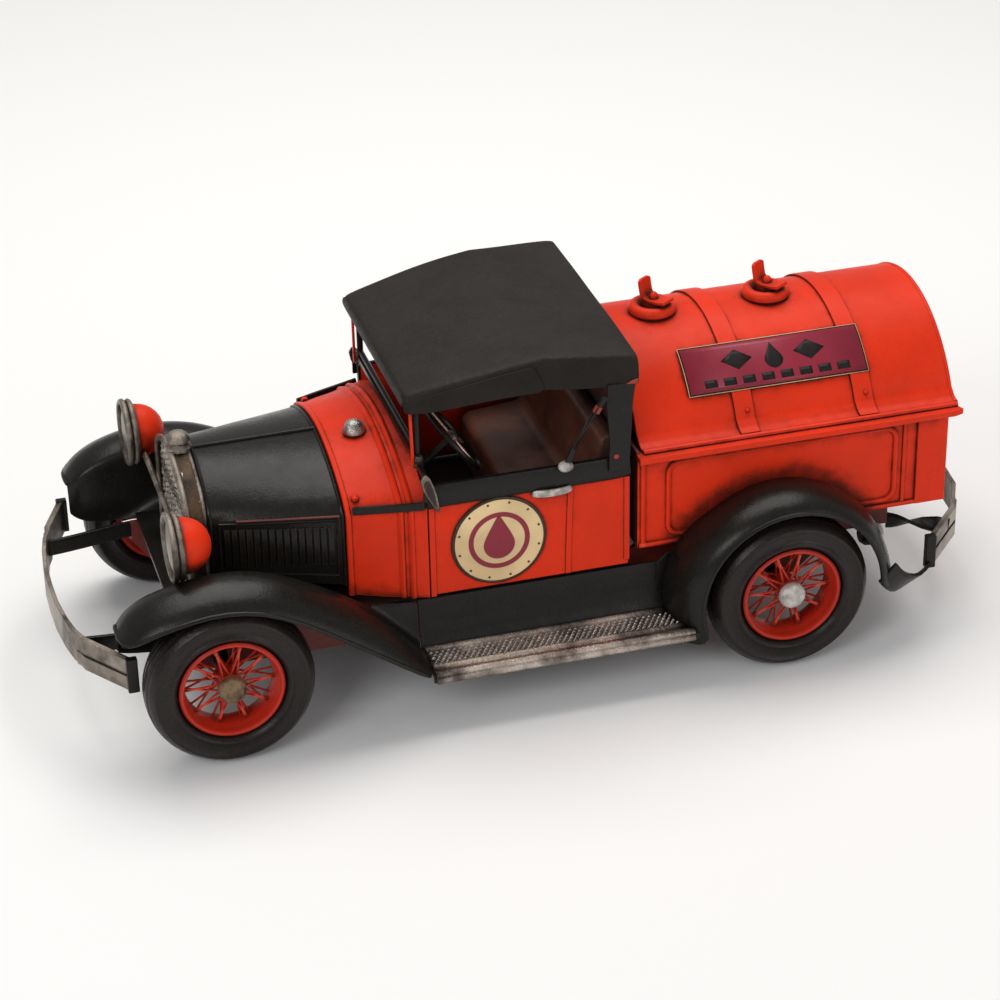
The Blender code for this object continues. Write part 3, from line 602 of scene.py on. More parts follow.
# ---------------- cowl
# Red tin that widens to the cab, with a flange at the hood, two raised beads before the windscreen
# and a domed filler cap beside the centre.
COWL = [(-56.5, 34, 35, 61.6, 71.6), (-45, 37.4, 34, 62.2, 72.8), (-34.4, 40.2, 33.4, 63.4, 75)]
swells = [(-56.5, 0), (-56.3, 0.55), (-55.7, 0.7), (-55.1, 0.5), (-54.8, 0), (-50, 0),
          (-45, 0), (-42.6, 0), (-42.2, 0.45), (-41.6, 0.7), (-41, 0.45), (-40.6, -0.1),
          (-39.8, -0.1), (-39.4, 0.45), (-38.8, 0.7), (-38.2, 0.45), (-37.8, 0), (-36, 0),
          (-34.4, 0)]
rows = [arched(y, *between(COWL, y), swell) for y, swell in swells]
finished("cowl_sheet", sheet(rows, (0, 0, 1)), red, [walled(1), eased(0.2)], stands_for="cowl", sharp=0)
for side in SIDES:
    belt_line = [(between(COWL, y)[0] + 0.35, y, z)
                 for y, z in ((-54.6, 62.2), (-48, 62.6), (-41, 63), (-35.2, 63.4))]
    belt = swept(belt_line, [(-0.5, -1.1), (0.35, -1.1), (0.6, 0), (0.35, 1.1), (-0.5, 1.1)])
    on_side("cowl_belt", side, belt, black)
    pip = turned([(0, 1), (0.8, 0.7), (1.1, 0), (0.9, -1.2), (0, -1.2)], "X", (31.9, -53, 64.2), 16)
    on_side("cowl_pip", side, pip, red)
chrome = coat("bright silver", (0.6, 0.57, 0.53), (0.035, 0.024, 0.018),
              (0.95, 0.94, 0.92), mottle=0.8, wash_and_shade_share=1, rub_share=0.6, chips=0.6, roughness=0.24,
              metallic=0.9, relief=1, fineness=2)
dome = turned([(0, 76.2), (1.3, 76), (2.3, 75.4), (2.8, 74.6), (2.9, 73.9), (3.3, 73.4),
               (3.3, 72.6), (0, 72.4)], "Z", (7.5, -47, 0), 32)
finished("cowl_dome_cap", dome, chrome, stands_for="cowl_filler_cap")

# ---------------- headlamps
# Red bullet bowls with two silver rings crimped round a pressed lens, on a tie bar of two thin
# rods.
lens_finish = coat("silvered lens", (0.3, 0.27, 0.23), (0.05, 0.035, 0.025),
                   (0.8, 0.76, 0.7), mottle=0.5, roughness=0.34, metallic=0.6, relief=0.6)
LAMP = (35.6, -106.5, 60.2)
bowl_profile = [(0, 11.4), (1.8, 11.2), (3.6, 10.6), (5, 9.7), (6.2, 8.5), (7.1, 7.1), (7.7, 5.6),
                (8, 4), (8.1, 2.4), (7.9, 1.6), (0, 1.6)]
rim_profile = [(7.8, 2.9), (8.6, 3), (9.5, 2.6), (9.9, 1.9), (9.6, 1.25), (9.25, 1.05),
               (9.6, 0.8), (10.1, 0.2), (9.95, -0.6), (9.3, -1), (8.6, -0.7), (8.4, 0),
               (7.9, 0.6)]
lens_profile = [(0, -0.7), (3, -0.6), (6, -0.2), (8.5, 0.5), (8.5, 1.2), (0, 1.2)]
for side, sign in SIDES.items():
    centre = (sign * LAMP[0], LAMP[1], LAMP[2])
    finished("lamp_bowl_" + side, turned(bowl_profile, "Y", centre, 48), red, stands_for="headlamp_" + side)
    finished("lamp_rim_" + side, turned(rim_profile, "Y", centre, 56, ring=True), silver, sharp=60)
    finished("lamp_lens_" + side, turned(lens_profile, "Y", centre, 48), lens_finish)
bars = [swept([(-28.4, y, z), (0, y, z), (28.4, y, z)], ring_of(0.75, 10))
        for y, z in ((-102.6, 56.7), (-101.9, 54.9))]
finished("lamp_tie_bar", joined(bars), silver, stands_for="headlamp_bar")

# ---------------- front fenders
# Clamshell wings hammered from black tin, with the outer edge rolled into a bead.


def front_fender_section(y, inner_x, inner_z, crown_z, lip_x, lip_z):
    """A section from the body side up the inner wall, over the crown and down to the outer lip."""
    rise, drop = crown_z - inner_z, crown_z - lip_z
    wall_x = max(inner_x + 0.6, lip_x - 19)
    width = lip_x - wall_x
    return [(inner_x, y, inner_z), (wall_x - 0.3, y, inner_z + 0.06 * rise),
            (wall_x, y, inner_z + 0.45 * rise), (wall_x + 0.02 * width, y, inner_z + 0.86 * rise),
            (wall_x + 0.1 * width, y, crown_z - 1.4), (wall_x + 0.42 * width, y, crown_z + 0.2),
            (wall_x + 0.68 * width, y, crown_z - 0.2 * drop),
            (wall_x + 0.9 * width, y, crown_z - 0.54 * drop), (lip_x, y, lip_z)]


# Each station: y, inner x, inner z, crown z, lip x, lip z.
FRONT_FENDER = [(-124.6, 40.2, 33, 43.4, 53, 41), (-121.5, 38.2, 31, 47.6, 56, 42.6),
                (-115, 38, 30, 51.4, 57.6, 46), (-105, 37.6, 30, 54, 58, 48.6),
                (-96.5, 30, 33.6, 55, 58, 49.4), (-86, 30, 34.6, 54.2, 58, 47.8),
                (-76, 31, 35, 50.4, 58, 43), (-62, 35.6, 35, 42.4, 58, 33.5),
                (-48, 41.4, 34.2, 31.5, 58, 23.4), (-38.6, 41.2, 33.4, 20.6, 58, 17.2)]
for side in SIDES:
    wing = sheet([front_fender_section(*station) for station in FRONT_FENDER], (0, 0, 1))
    on_side("front_wing", side, wing, black, [rounded(2), walled(1), eased(0.3)],
            stands_for="fender_front", sharp=0)
    lip = [(lip_x - 0.55, y + 0.3, lip_z + 0.2) for y, _, _, _, lip_x, lip_z in FRONT_FENDER]
    lip = [(41.2, -124.4, 42), (46, -125, 43.2)] + lip
    bead = swept(lip, ring_of(0.75))
    on_side("front_wing_bead", side, bead, black, [rounded(1)])

# ---------------- running boards
# A black apron curves out into the step, and a silvered tread plate with rows of pressed diamonds
# and rolled ridges is laid over it.
tread_silver = coat("tread silver", (0.5, 0.42, 0.36), (0.022, 0.009, 0.007),
                    (0.9, 0.84, 0.77), mottle=0.9, wash_and_shade_share=1, rub_share=0.9, chips=1, roughness=0.28,
                    reach=0.0022, metallic=0.85, relief=1, fineness=2.4)
apron = [(40.8, 33.4), (40.9, 30), (41.1, 26), (41.8, 22), (43.2, 19.4), (46, 18.2), (52, 18),
         (56.6, 17.8), (57.4, 17), (57.5, 15.6)]
tread = [(43.4, 19.2), (43.9, 19.75), (44.5, 19.8), (45.1, 19.3), (45.6, 18.7), (49, 18.55),
         (52.2, 18.5), (52.6, 18.9), (53.1, 19.25), (53.6, 18.9), (54, 18.3), (55, 18.2),
         (55.5, 18.6), (56.1, 18.95), (56.9, 18.8), (57.5, 18.2), (57.6, 17.6), (57.3, 17.2),
         (57.6, 16.8), (58, 16.2), (57.9, 15.5), (57.4, 15.2)]


STUD_SIZE = (1, 1.45, 0.8)
STUD_Z = 18.75


def stud(x, y):
    """One pressed diamond of the tread."""
    shape = bmesh.new()
    bmesh.ops.create_cone(shape, cap_ends=True, segments=4, radius1=0.5, radius2=0.16, depth=1)
    bmesh.ops.scale(shape, vec=STUD_SIZE, verts=shape.verts)
    bmesh.ops.translate(shape, vec=(x, y, STUD_Z), verts=shape.verts)
    return shape


def left_plate(outline, low, high):
    """A thin plate of an outline of (y, z) points that faces left."""
    return prism(outline, "X", low, high)


for side in SIDES:
    skirt = sheet([[(x, y, z) for x, z in apron] for y in (-38.2, -20, 0, 20, 37, 41.5)], (1, 0, 1))
    on_side("step_apron", side, skirt, black, [walled(0.8), eased(0.2)], stands_for="running_board",
            sharp=0)
    gusset = left_plate([(33, 18.4), (33, 33.4), (36, 36.2), (48, 38), (50, 24), (44, 18.4)], 40.7, 41.5)
    on_side("step_gusset", side, gusset, black, [eased(0.25)])
    plate = sheet([[(x, y, z) for x, z in tread] for y in (-37.4, -20, 0, 20, 39.6)], (1, 0, 1))
    on_side("step_tread", side, plate, tread_silver, [walled(0.5)], sharp=0)
    studs = [stud(46.5 + 1.35 * row, -36.2 + 1.72 * (index + 0.5 * (row % 2)))
             for row in range(5) for index in range(44)]
    on_side("step_studs", side, joined(studs), tread_silver, sharp=30)

# ---------------- rear fenders
# Arched wings over the rear wheels with a rolled bead on the lip and a tail that flares
# backwards.


def rear_fender_section(angle, swell):
    """A section across the arch at an angle round the axle, with the crown swelled outwards."""
    line = [(40.6, 31), (43.6, 32.5), (48, 32.8), (53, 31.8), (56.8, 30), (58, 27.9)]
    away = math.radians(angle)
    reaches = [(x, radius + swell * (1 - i / 5)) for i, (x, radius) in enumerate(line)]
    return [(x, REAR_AXLE_Y - reach * math.cos(away), AXLE_Z + reach * math.sin(away))
            for x, reach in reaches]


# Each station: angle round the axle, swell.
REAR_FENDER = [(-22, 3.4), (-10, 4.2), (4, 4.2), (20, 3.8), (36, 1.8), (54, 0), (72, 0), (90, 0),
               (108, 0), (126, 0), (144, 0), (160, 0), (173, 0.8), (184, 2.6)]
for side in SIDES:
    sections = [rear_fender_section(*station) for station in REAR_FENDER]
    wing = sheet(sections, (0, 0, 1))
    on_side("rear_wing", side, wing, black, [rounded(2), walled(1), eased(0.3)], stands_for="fender_rear",
            sharp=0)
    bead = swept([(x - 0.6, y, z) for x, y, z in (section[-1] for section in sections)], ring_of(0.8),
                 up=(1, 0, 0))
    on_side("rear_wing_bead", side, bead, black, [rounded(1)])

# ---------------- cab sides
# Red pressed panels with a rolled bead at each door line and a broad black belt moulding along the
# top edge.


def rivet(x, y, z, radius, high):
    """A low dome that faces left."""
    return turned([(0, high), (0.6 * radius, 0.8 * high), (radius, 0.1), (radius, -0.3), (0, -0.3)],
                  "X", (x, y, z), 14)


HALF_ROUND = [(-0.3, -0.8), (0.3, -0.75), (0.75, -0.3), (0.75, 0.3), (0.3, 0.75), (-0.3, 0.8)]
for side in SIDES:
    wall = block((39, -34.1, 34), (40.2, 24.9, 69))
    on_side("cab_panel", side, wall, red, [eased(0.3)], stands_for="cab_side")
    door_lines = ([(40.2, -33.2, 33.6), (40.3, -33.2, 48), (40.2, -33.2, 62.8)],
                  [(40.2, 6.6, 34.2), (40.3, 7, 48), (40.2, 7.6, 62.8)],
                  [(40.2, 24.3, 35.6), (40.2, 24.3, 62.8)])
    beads = joined([swept(line, HALF_ROUND, up=(0, 1, 0)) for line in door_lines])
    on_side("door_beads", side, beads, red, [eased(0.1)])
    belt_path = [(40.6, -34.6, 65.6), (40.7, -28, 65.9), (40.7, -10, 66), (40.7, 8, 66),
                 (40.7, 20, 66), (40.5, 25.2, 66.4)]
    belt = swept(belt_path, [(-1.6, -3.3), (0.1, -3.3), (0.55, -2.6), (0.6, 0), (0.5, 2.7), (0.1, 3.7),
                             (-0.9, 3.9), (-1.6, 3.2)])
    on_side("cab_belt", side, belt, black, [eased(0.2)])
    grip = swept([(41.2, -4.4, 62.5), (41.7, -1.5, 62.2), (41.8, 2.5, 62), (41.5, 6.6, 62.2),
                  (41.1, 7.6, 62.8)], [(-0.5, -1.5), (0.35, -1.2), (0.5, 0), (0.35, 1.2), (-0.5, 1.4)])
    on_side("door_handle", side, grip, white_silver, [rounded(1)])

# ---------------- door badges
# A cream tin disc with a dark turned rim, soldered on each door. It carries a plain painted
# roundel with a drop.
cream = coat("badge cream", (0.82, 0.6, 0.31), (0.3, 0.16, 0.07), (0.8, 0.66, 0.42),
             mottle=0.45, wash_and_shade_share=0.9, rub_share=0.2, chips=0.1, roughness=0.42, reach=0.002)
plum = coat("sign plum", (0.26, 0.014, 0.034), (0.09, 0.008, 0.014), (0.34, 0.04, 0.07),
            mottle=0.4, wash_and_shade_share=0.6, rub_share=0.2, chips=0.05, roughness=0.34, specular=0.3)
rim_brown = coat("badge rim", (0.035, 0.022, 0.014), (0.01, 0.006, 0.004),
                 (0.28, 0.18, 0.1), mottle=0.4, rub_share=0.7, roughness=0.4, metallic=0.3)
BADGE = (-13.8, 48.9)


def drop_outline(centre, size, count=28):
    """A plain drop: round below and pointed above."""
    points = []
    for i in range(count):
        a = 2 * math.pi * i / count
        pull = max(0, math.cos(a)) ** 2.2
        points.append((centre[0] + size * 0.62 * math.sin(a) * (1 - 0.55 * pull),
                       centre[1] + size * (0.62 * math.cos(a) + 0.62 * pull) - 0.18 * size))
    return points


for side in SIDES:
    y, z = BADGE
    layers = (("disc", [(0, 40.75), (13.4, 40.75), (13.4, 40.3), (0, 40.3)], False, cream),
              ("rim", [(13.1, 40.3), (13.1, 40.85), (13.45, 41), (13.85, 40.8), (13.9, 40.3)], True,
               rim_brown),
              ("ring", [(7.6, 40.6), (7.6, 40.85), (9, 40.85), (9, 40.6)], True, plum))
    for label, profile, ring, finish in layers:
        made = turned(profile, "X", (0, y, z), 64, ring=ring)
        on_side(f"badge_{label}", side, made, finish, sharp=30)
    drop = left_plate(drop_outline((y, z), 7.4), 40.6, 40.85)
    on_side("badge_drop", side, drop, plum, sharp=30)
    pins = joined([rivet(40.75, y + 12.1 * math.sin(a), z + 12.1 * math.cos(a), 0.35, 0.25)
                   for a in (math.radians(15 + 30 * i) for i in range(12))])
    on_side("badge_pins", side, pins, rim_brown)

# ---------------- cab back, seat and floor fittings
# The wall behind the bench is one brown-red sheet, and the bench is folded from the same tin with
# rounded edges.
# Its long reach darkens the bench and back wall towards the wash colour, as painted shade inside the cab.
seat_brown = coat("seat brown", (0.2, 0.068, 0.036), (0.035, 0.011, 0.007),
                  (0.36, 0.17, 0.11), mottle=0.7, rub_share=0.5, chips=0.3, roughness=0.44, reach=0.02)
repaint(seat_brown, "cab_back_wall")
repaint(black, "dashboard")
bench = [(-4, 34), (23, 34), (23, 74), (20.4, 75), (17.8, 73.6), (15.2, 53.6), (13.6, 51.8),
         (-1.6, 50.4), (-4, 48.8)]
finished("bench_tin", prism(bench, "X", -36, 36), seat_brown, [eased(1.2, 4)], stands_for="bench_seat")

# ---------------- windscreen
# An open black wire frame on the cowl, with a red strip soldered in front of each post, a silver
# ferrule at its foot and a leaf-shaped silver bracket down the side.
frame_line = [(-33.1, -35, 73.2), (-33.1, -35, 91.8), (-32.6, -35, 92.5), (-31.8, -35, 92.7),
              (31.8, -35, 92.7), (32.6, -35, 92.5), (33.1, -35, 91.8), (33.1, -35, 73.2)]
bars = [swept(frame_line, ring_of(0.95, 12), up=(0, 1, 0)),
        swept([(-33, -35, 77.2), (33, -35, 77.2)], ring_of(0.8, 10), up=(0, 1, 0)),
        swept([(-33, -35, 74.9), (33, -35, 74.9)], flat_bar(0.7, 1), up=(0, 1, 0))]
finished("windscreen_bars", joined(bars), black, stands_for="windscreen_frame")
for side in SIDES:
    foot = prism([(32.2, 76), (32.2, 72.2), (40.6, 72.2), (41.4, 71.2), (41.5, 65.4), (42.4, 65.4),
                  (42.4, 72.2), (41.2, 73.8), (34.2, 74.2), (34.2, 76)], "Y", -35.7, -34.3)
    on_side("windscreen_foot", side, foot, black, [eased(0.25)])
    strip = swept([(34.4, -36.6, 73), (34, -36.7, 82), (33.6, -36.8, 90.5)], flat_bar(0.45, 0.35),
                  up=(0, 1, 0))
    on_side("windscreen_strip", side, strip, red)
    ferrule = turned([(0, 72.6), (1.5, 72.8), (1.6, 73.6), (1.2, 74.2), (1.5, 74.8), (1.5, 75.8),
                      (1.1, 76.4), (0, 76.4)], "Z", (34.2, -35, 0), 20)
    on_side("windscreen_ferrule", side, ferrule, silver)
    leaf = [(-36.58, 72.6), (-35.7, 74), (-34.74, 74.2), (-33.86, 73.2), (-32.82, 70.6), (-31.94, 67.4),
            (-31.38, 64), (-31.14, 61.6), (-31.78, 61.9), (-33.14, 64), (-34.66, 66.8), (-36.02, 69.8)]
    plate = left_plate(leaf, 41.9, 42.7)
    on_side("windscreen_leaf", side, plate, silver, [eased(0.3)])
    inset = [(-33.9 + (y + 33.9) * 0.66, 68.4 + (z - 68.4) * 0.7) for y, z in leaf]
    pad = left_plate(inset, 42.6, 42.9)
    on_side("windscreen_leaf_pad", side, pad, black, [eased(0.15)])

# ---------------- steering wheel
# A bent black wire rim on a thin column. Four hammered silver-and-red spokes meet at a small cap,
# and the whole wheel turns.
LEAN = Vector((0, 0.788, 0.616))
WHEEL_CENTRE = Vector((20, -21.2, 72.8))
spoke_silver = coat("spoke silver", (0.48, 0.3, 0.24), (0.1, 0.02, 0.012),
                    (0.85, 0.8, 0.76), mottle=0.8, rub_share=0.8, chips=0.9, roughness=0.34, metallic=0.6)
rim_shape = turned([(11.6 + out, along) for out, along in ring_of(0.85)], "Z", (0, 0, 0), 56, ring=True)
cross = [swept([(math.cos(a), math.sin(a), 0.1), (11.2 * math.cos(a), 11.2 * math.sin(a), 0)],
               flat_bar(0.85, 0.3)) for a in (math.radians(45 + 90 * i) for i in range(4))]
boss = turned([(0, 1.3), (1.2, 1.15), (1.9, 0.7), (2.1, 0), (2.1, -1), (0, -1.2)], "Z", (0, 0, 0), 24)
lean_turn = LEAN.to_track_quat("Z", "Y").to_matrix().to_4x4()
for label, shape, finish, stood in (
        ("rim", rim_shape, black, "steering_wheel"),
        ("spokes", joined(cross), spoke_silver, ""),
        ("boss", boss, silver, "")):
    bmesh.ops.transform(shape, matrix=Matrix.Translation(WHEEL_CENTRE) @ lean_turn, verts=shape.verts)
    finished("steering_" + label, shape, finish, [eased(0.12)] if label == "spokes" else [],
             body="steering", stands_for=stood)
repaint(black, "steering_column")

# ---------------- roof
# Black crackle-painted tin folded like a fabric top. The front valance is lapped over the rear one
# at a slanted joint, and a strap pillar holds each rear corner.
cloth_black = coat("crackle black", (0.0135, 0.0115, 0.0088), (0.0052, 0.0046, 0.0038),
                   (0.12, 0.042, 0.026), mottle=0.6, wash_and_shade_share=0.6, rub_share=0.5, chips=0.6,
                   roughness=0.5, relief=0.85, specular=0.16, fineness=1.6)
# Each station: y, half width, edge z, crown z, valance drop.
ROOF = [(-39, 35, 94.4, 95, 3), (-38.5, 35.4, 95, 95.8, 4), (-36.8, 36, 95.6, 96.5, 5.2),
        (-28, 37, 97.6, 98.5, 5.8), (-20, 38, 99.3, 100.2, 6.4), (-10, 38.6, 101.2, 102.1, 7.5),
        (-0.6, 39.1, 102.5, 103.4, 8.5), (0.4, 39.2, 102.6, 103.5, 8.6), (1.6, 39.3, 102.6, 103.5, 8.6),
        (8, 40.1, 102.1, 103, 8.8), (17, 40.8, 101.6, 102.6, 8.8), (25.6, 41.4, 101, 102.1, 8.2),
        (27.2, 41.6, 100.3, 101.4, 7.6)]


def roof_line(y, half, edge_z, crown_z, drop):
    """Valance, rounded edge and a slightly crowned top, from left to right."""
    left = [(half + 0.8, edge_z - drop), (half + 0.5, edge_z - drop * 0.5), (half + 0.1, edge_z - 1.4),
            (half - 0.7, edge_z + 0.1), (half - 2.4, edge_z + 0.65), (half * 0.8, crown_z - 0.25),
            (half * 0.4, crown_z - 0.02)]
    line = left + [(0, crown_z)] + [(-x, z) for x, z in reversed(left)]
    return [(x, y, z) for x, z in line]


top = sheet([roof_line(*station) for station in ROOF], (0, 0, 1))
for vert in top.verts:
    if vert.co.z > 94:
        x, y = vert.co.x, vert.co.y
        vert.co.z += 0.22 * math.sin(0.21 * x + 0.9) * math.sin(0.16 * y + 0.4)
finished("roof_top", top, cloth_black, [rounded(2), walled(1), eased(0.3)], stands_for="roof", sharp=0)
front_lip = sheet([[(x, y, z) for x, z in row] for y, row in
                   ((-39.2, [(35.4 - 70.8 * i / 12, 92 - 0.15 * (i % 2)) for i in range(13)]),
                    (-39.5, [(35.3 - 70.6 * i / 12, 93.6) for i in range(13)]),
                    (-38.6, [(35 - 70 * i / 12, 95.3) for i in range(13)]))], (0, -1, 0))
finished("roof_front_lip", front_lip, cloth_black, [rounded(1), walled(0.7), eased(0.2)], sharp=0)
rear_flap = prism([(-41.3, 99.4), (-42.2, 92.8), (42.2, 92.8), (41.3, 99.4), (39, 100.6), (20, 101.2),
                   (0, 101.5), (-20, 101.2), (-39, 100.6)], "Y", 26.2, 27.1)
finished("roof_rear_flap_tin", rear_flap, cloth_black, [eased(0.3)])
chip_red = coat("bare red chip", (0.34, 0.022, 0.01), (0.06, 0.01, 0.006),
                (0.5, 0.1, 0.06), mottle=0.5, rub_share=0.3, chips=0.6, roughness=0.5)
for side in SIDES:
    lap_rows = []
    for y, share in ((-38.4, 0), (-30, 0), (-20, 0), (-10, 0), (-4, 0), (0.4, 1)):
        half, edge_z, crown_z, drop = between(ROOF, y)
        lap_rows.append([(half + 0.35, y - 3 * share, edge_z - 1),
                         (half + 0.85, y - 1.4 * share, edge_z - 1 - (drop - 1) * 0.5),
                         (half + 1.3, y + share, edge_z - drop - 0.5)])
    lap = sheet(lap_rows, (1, 0, 0))
    on_side("roof_lap", side, lap, cloth_black, [rounded(1), walled(0.6), eased(0.2)], sharp=0)
    pillar = [(18, 93.6), (17.6, 88), (18.6, 76), (18.4, 66), (24.6, 66), (25, 76),
              (25.6, 88), (26.4, 93.6)]
    post = left_plate(pillar, 41.3, 42.2)
    on_side("rear_pillar", side, post, black, [eased(0.3)])
    stud_red = rivet(42.2, 20.6, 70.8, 0.8, 0.5)
    on_side("rear_pillar_rivet", side, stud_red, chip_red)
    fold = left_plate([(23.4, 93.3), (26.6, 93), (27, 94.6), (25.2, 94.3)], 42, 42.4)
    on_side("roof_corner_fold", side, fold, chip_red, [eased(0.15)])

# ---------------- landau irons
# Flat black straps with a twist, showing red where they meet the roof, on a hammered silver ball.
for side in SIDES:
    strap = swept([(42.6, 6.2, 71.6), (42.8, 7.4, 75), (43, 9.6, 79.4), (43.2, 12, 83.4), (43.5, 14.4, 87),
                   (43.6, 17, 91)], flat_bar(0.4, 0.9), twists=[0, 20, 60, 100, 40, 0])
    on_side("landau_strap", side, strap, black, [eased(0.15), rounded(1)], stands_for="landau_iron")
    mark = block((42.9, 13.6, 86.2), (44, 15.6, 88.4))
    bmesh.ops.rotate(mark, cent=(43.4, 14.6, 87.3), matrix=Matrix.Rotation(math.radians(-32), 3, "X"),
                     verts=mark.verts)
    on_side("landau_mark", side, mark, chip_red, [eased(0.2)])
    ball = turned([(0, 2.4), (1.3, 2.1), (2.2, 1.2), (2.4, 0), (2.2, -1), (1.4, -1.6), (0, -1.7)], "X",
                  (42.2, 5.6, 70.2), 20)
    bmesh.ops.scale(ball, vec=(0.7, 0.95, 0.68), space=Matrix.Translation((-42.2, -5.6, -70.2)),
                    verts=ball.verts)
    on_side("landau_ball", side, ball, white_silver)

# ---------------- bed
# A red tin tub under a broad rolled top rail. Each side is pressed with a rounded bead frame and a
# post at the rear, with a hem along the bottom.
BED_SIDE = 40
RAIL_OUTLINE = [(2.2, 0.9), (-1.6, 0.85), (-2.2, 0.4), (-2.3, -0.3), (-1.9, -0.9), (2.2, -0.9)]
walls = [block((-39.9, 27.6, 38.4), (39.9, 122.6, 39.6)), block((-39.9, 27.6, 38.4), (39.9, 28.8, 69.2))]
finished("bed_floor", joined(walls), under_red, [eased(0.2)], stands_for="bed_box")


def rounded_loop(y0, y1, z0, z1, radius, x):
    """A rounded rectangle in the plane of the left side."""
    points = []
    for cy, cz, start in ((y1 - radius, z1 - radius, 0), (y0 + radius, z1 - radius, 90),
                          (y0 + radius, z0 + radius, 180), (y1 - radius, z0 + radius, 270)):
        for step in range(5):
            a = math.radians(start + 22.5 * step)
            points.append((x, cy + radius * math.cos(a), cz + radius * math.sin(a)))
    return points


for side in SIDES:
    wall = block((38.9, 27.6, 38.4), (BED_SIDE, 122.8, 69.2))
    on_side("bed_wall", side, wall, red, [eased(0.3)])
    rail = swept([(41.7, 27.2, 68.4), (41.8, 60, 68.5), (41.8, 95, 68.4), (41.8, 123.4, 68.5),
                  (41, 125.4, 68.5)], RAIL_OUTLINE)
    on_side("bed_rail", side, rail, red, [eased(0.2)])
    loop = rounded_loop(36.8, 106.6, 41.4, 65.2, 3.6, BED_SIDE + 0.05)
    beads = [swept(loop, ring_of(0.85), closed=True, up=(1, 0, 0))]
    beads += [swept([(BED_SIDE, *start), (BED_SIDE, *end)], ring_of(radius), up=(1, 0, 0))
              for start, end, radius in (((29.2, 39), (29.2, 67.4), 0.9), ((28, 39.3), (122.4, 39.3), 0.9),
                                         ((109.4, 40.2), (109.4, 67.4), 0.7))]
    on_side("bed_beads", side, joined(beads), red)
    post = block((39.6, 113.2, 38.6), (41, 122.7, 67.6))
    on_side("bed_post", side, post, red, [eased(0.4, 3)])
gate = block((-38.6, 121.4, 39.8), (38.6, 122.6, 68.7))
finished("tailgate_sheet", gate, red, [eased(0.3)], stands_for="tailgate")
gate_loop = [(y, 122.6, z) for _, y, z in rounded_loop(-34, 34, 43, 65, 3.6, 0)]
finished("tailgate_bead", swept(gate_loop, ring_of(0.8), closed=True, up=(0, 1, 0)), red)

# ---------------- tank
# A red sheet rolled over an arch that flares out onto the bed rails, with a beaded disc at each
# end. Two strap bands are held by small rivets on the left, and lie under the sign on the right.
TANK_RADIUS = 39.3
TANK_CENTRE_Z = 54.1
STRAP_RIVET_ANGLE = 31
FLARE = [(35.6, 71.9), (36.7, 70.9), (38, 70.3), (39.6, 70.1)]


def tank_line(grow=0, count=44, flare=True):
    """The tank's section from left to right: an arch between two flares."""
    radius = TANK_RADIUS + grow
    low = 28
    arch = [(radius * math.cos(a), TANK_CENTRE_Z + radius * math.sin(a)) for a in
            (math.radians(low + (180 - 2 * low) * i / count) for i in range(count + 1))]
    lip = [(x + grow * 0.6, z + grow * 0.8) for x, z in reversed(FLARE)] if flare else []
    return lip + arch + [(-x, z) for x, z in reversed(lip)]


rows = [[(x, y, z) for x, z in tank_line()] for y in (29, 45, 62, 80, 98, 112, 125.4)]
finished("tank_sheet", sheet(rows, (0, 0, 1)), red, [walled(1.1), eased(0.3)], stands_for="tank_shell",
         sharp=0)
for label, y, way in (("front", 29.6, -1), ("rear", 124.8, 1)):
    disc = prism([(x * 0.985, TANK_CENTRE_Z + (z - TANK_CENTRE_Z) * 0.985)
                  for x, z in tank_line(flare=False)], "Y", y - 0.5, y + 0.5)
    finished("tank_end_" + label, disc, red, [eased(0.2)])
    hoop = swept([(x * 0.8, y + way * 0.4, TANK_CENTRE_Z + 3.5 + (z - TANK_CENTRE_Z) * 0.8)
                  for x, z in tank_line(flare=False)], ring_of(0.8), up=(0, 1, 0))
    finished("tank_end_bead_" + label, hoop, red)
seam = swept([(x, 125.3, z) for x, z in tank_line(-0.4)], ring_of(0.7), up=(0, 1, 0))
finished("tank_rear_seam", seam, red)
for side, sign in SIDES.items():
    solder = swept([(sign * 40.6, y, 69.75) for y in (29.2, 60, 90, 125.2)], ring_of(0.85))
    finished("tank_solder_" + side, solder, red)
for label, y in (("front", 61.8), ("rear", 98.2)):
    rows = [[(x, y + offset, z) for x, z in tank_line(0.75)] for offset in (-2.9, -2.5, 0, 2.5, 2.9)]
    finished(f"tank_strap_{label}", sheet(rows, (0, 0, 1)), red, [walled(0.7), eased(0.25)],
             stands_for="tank_band_" + label, sharp=0)
    a = math.radians(STRAP_RIVET_ANGLE)
    head = turned([(0, 0.55), (0.45, 0.45), (0.75, 0.1), (0.75, -0.3), (0, -0.3)], "X", (0, 0, 0), 12)
    spot = Vector(((TANK_RADIUS + 0.75) * math.cos(a), y + 0.8,
                   TANK_CENTRE_Z + (TANK_RADIUS + 0.75) * math.sin(a)))
    bmesh.ops.transform(head, matrix=Matrix.Translation(spot) @ Matrix.Rotation(-a, 4, "Y"),
                        verts=head.verts)
    finished("tank_strap_rivet_" + label, head, red)

# ---------------- tank signs
# A plum tin plate with a cream hairline and a black border is curved round each side of the tank.
# A plain drop between two lozenges and a row of bars stand for its painting.
ink = coat("sign ink", (0.012, 0.01, 0.01), (0.006, 0.005, 0.005), (0.12, 0.05, 0.05),
           mottle=0.2, rub_share=0, chips=0.05, roughness=0.42, specular=0.15)
SIGN_Y = (46.2, 101.2)
SIGN_ANGLES = (39.6, 61.6)
SIGN_SLIPS = {"left": 0, "right": -12}  # degrees round the tank


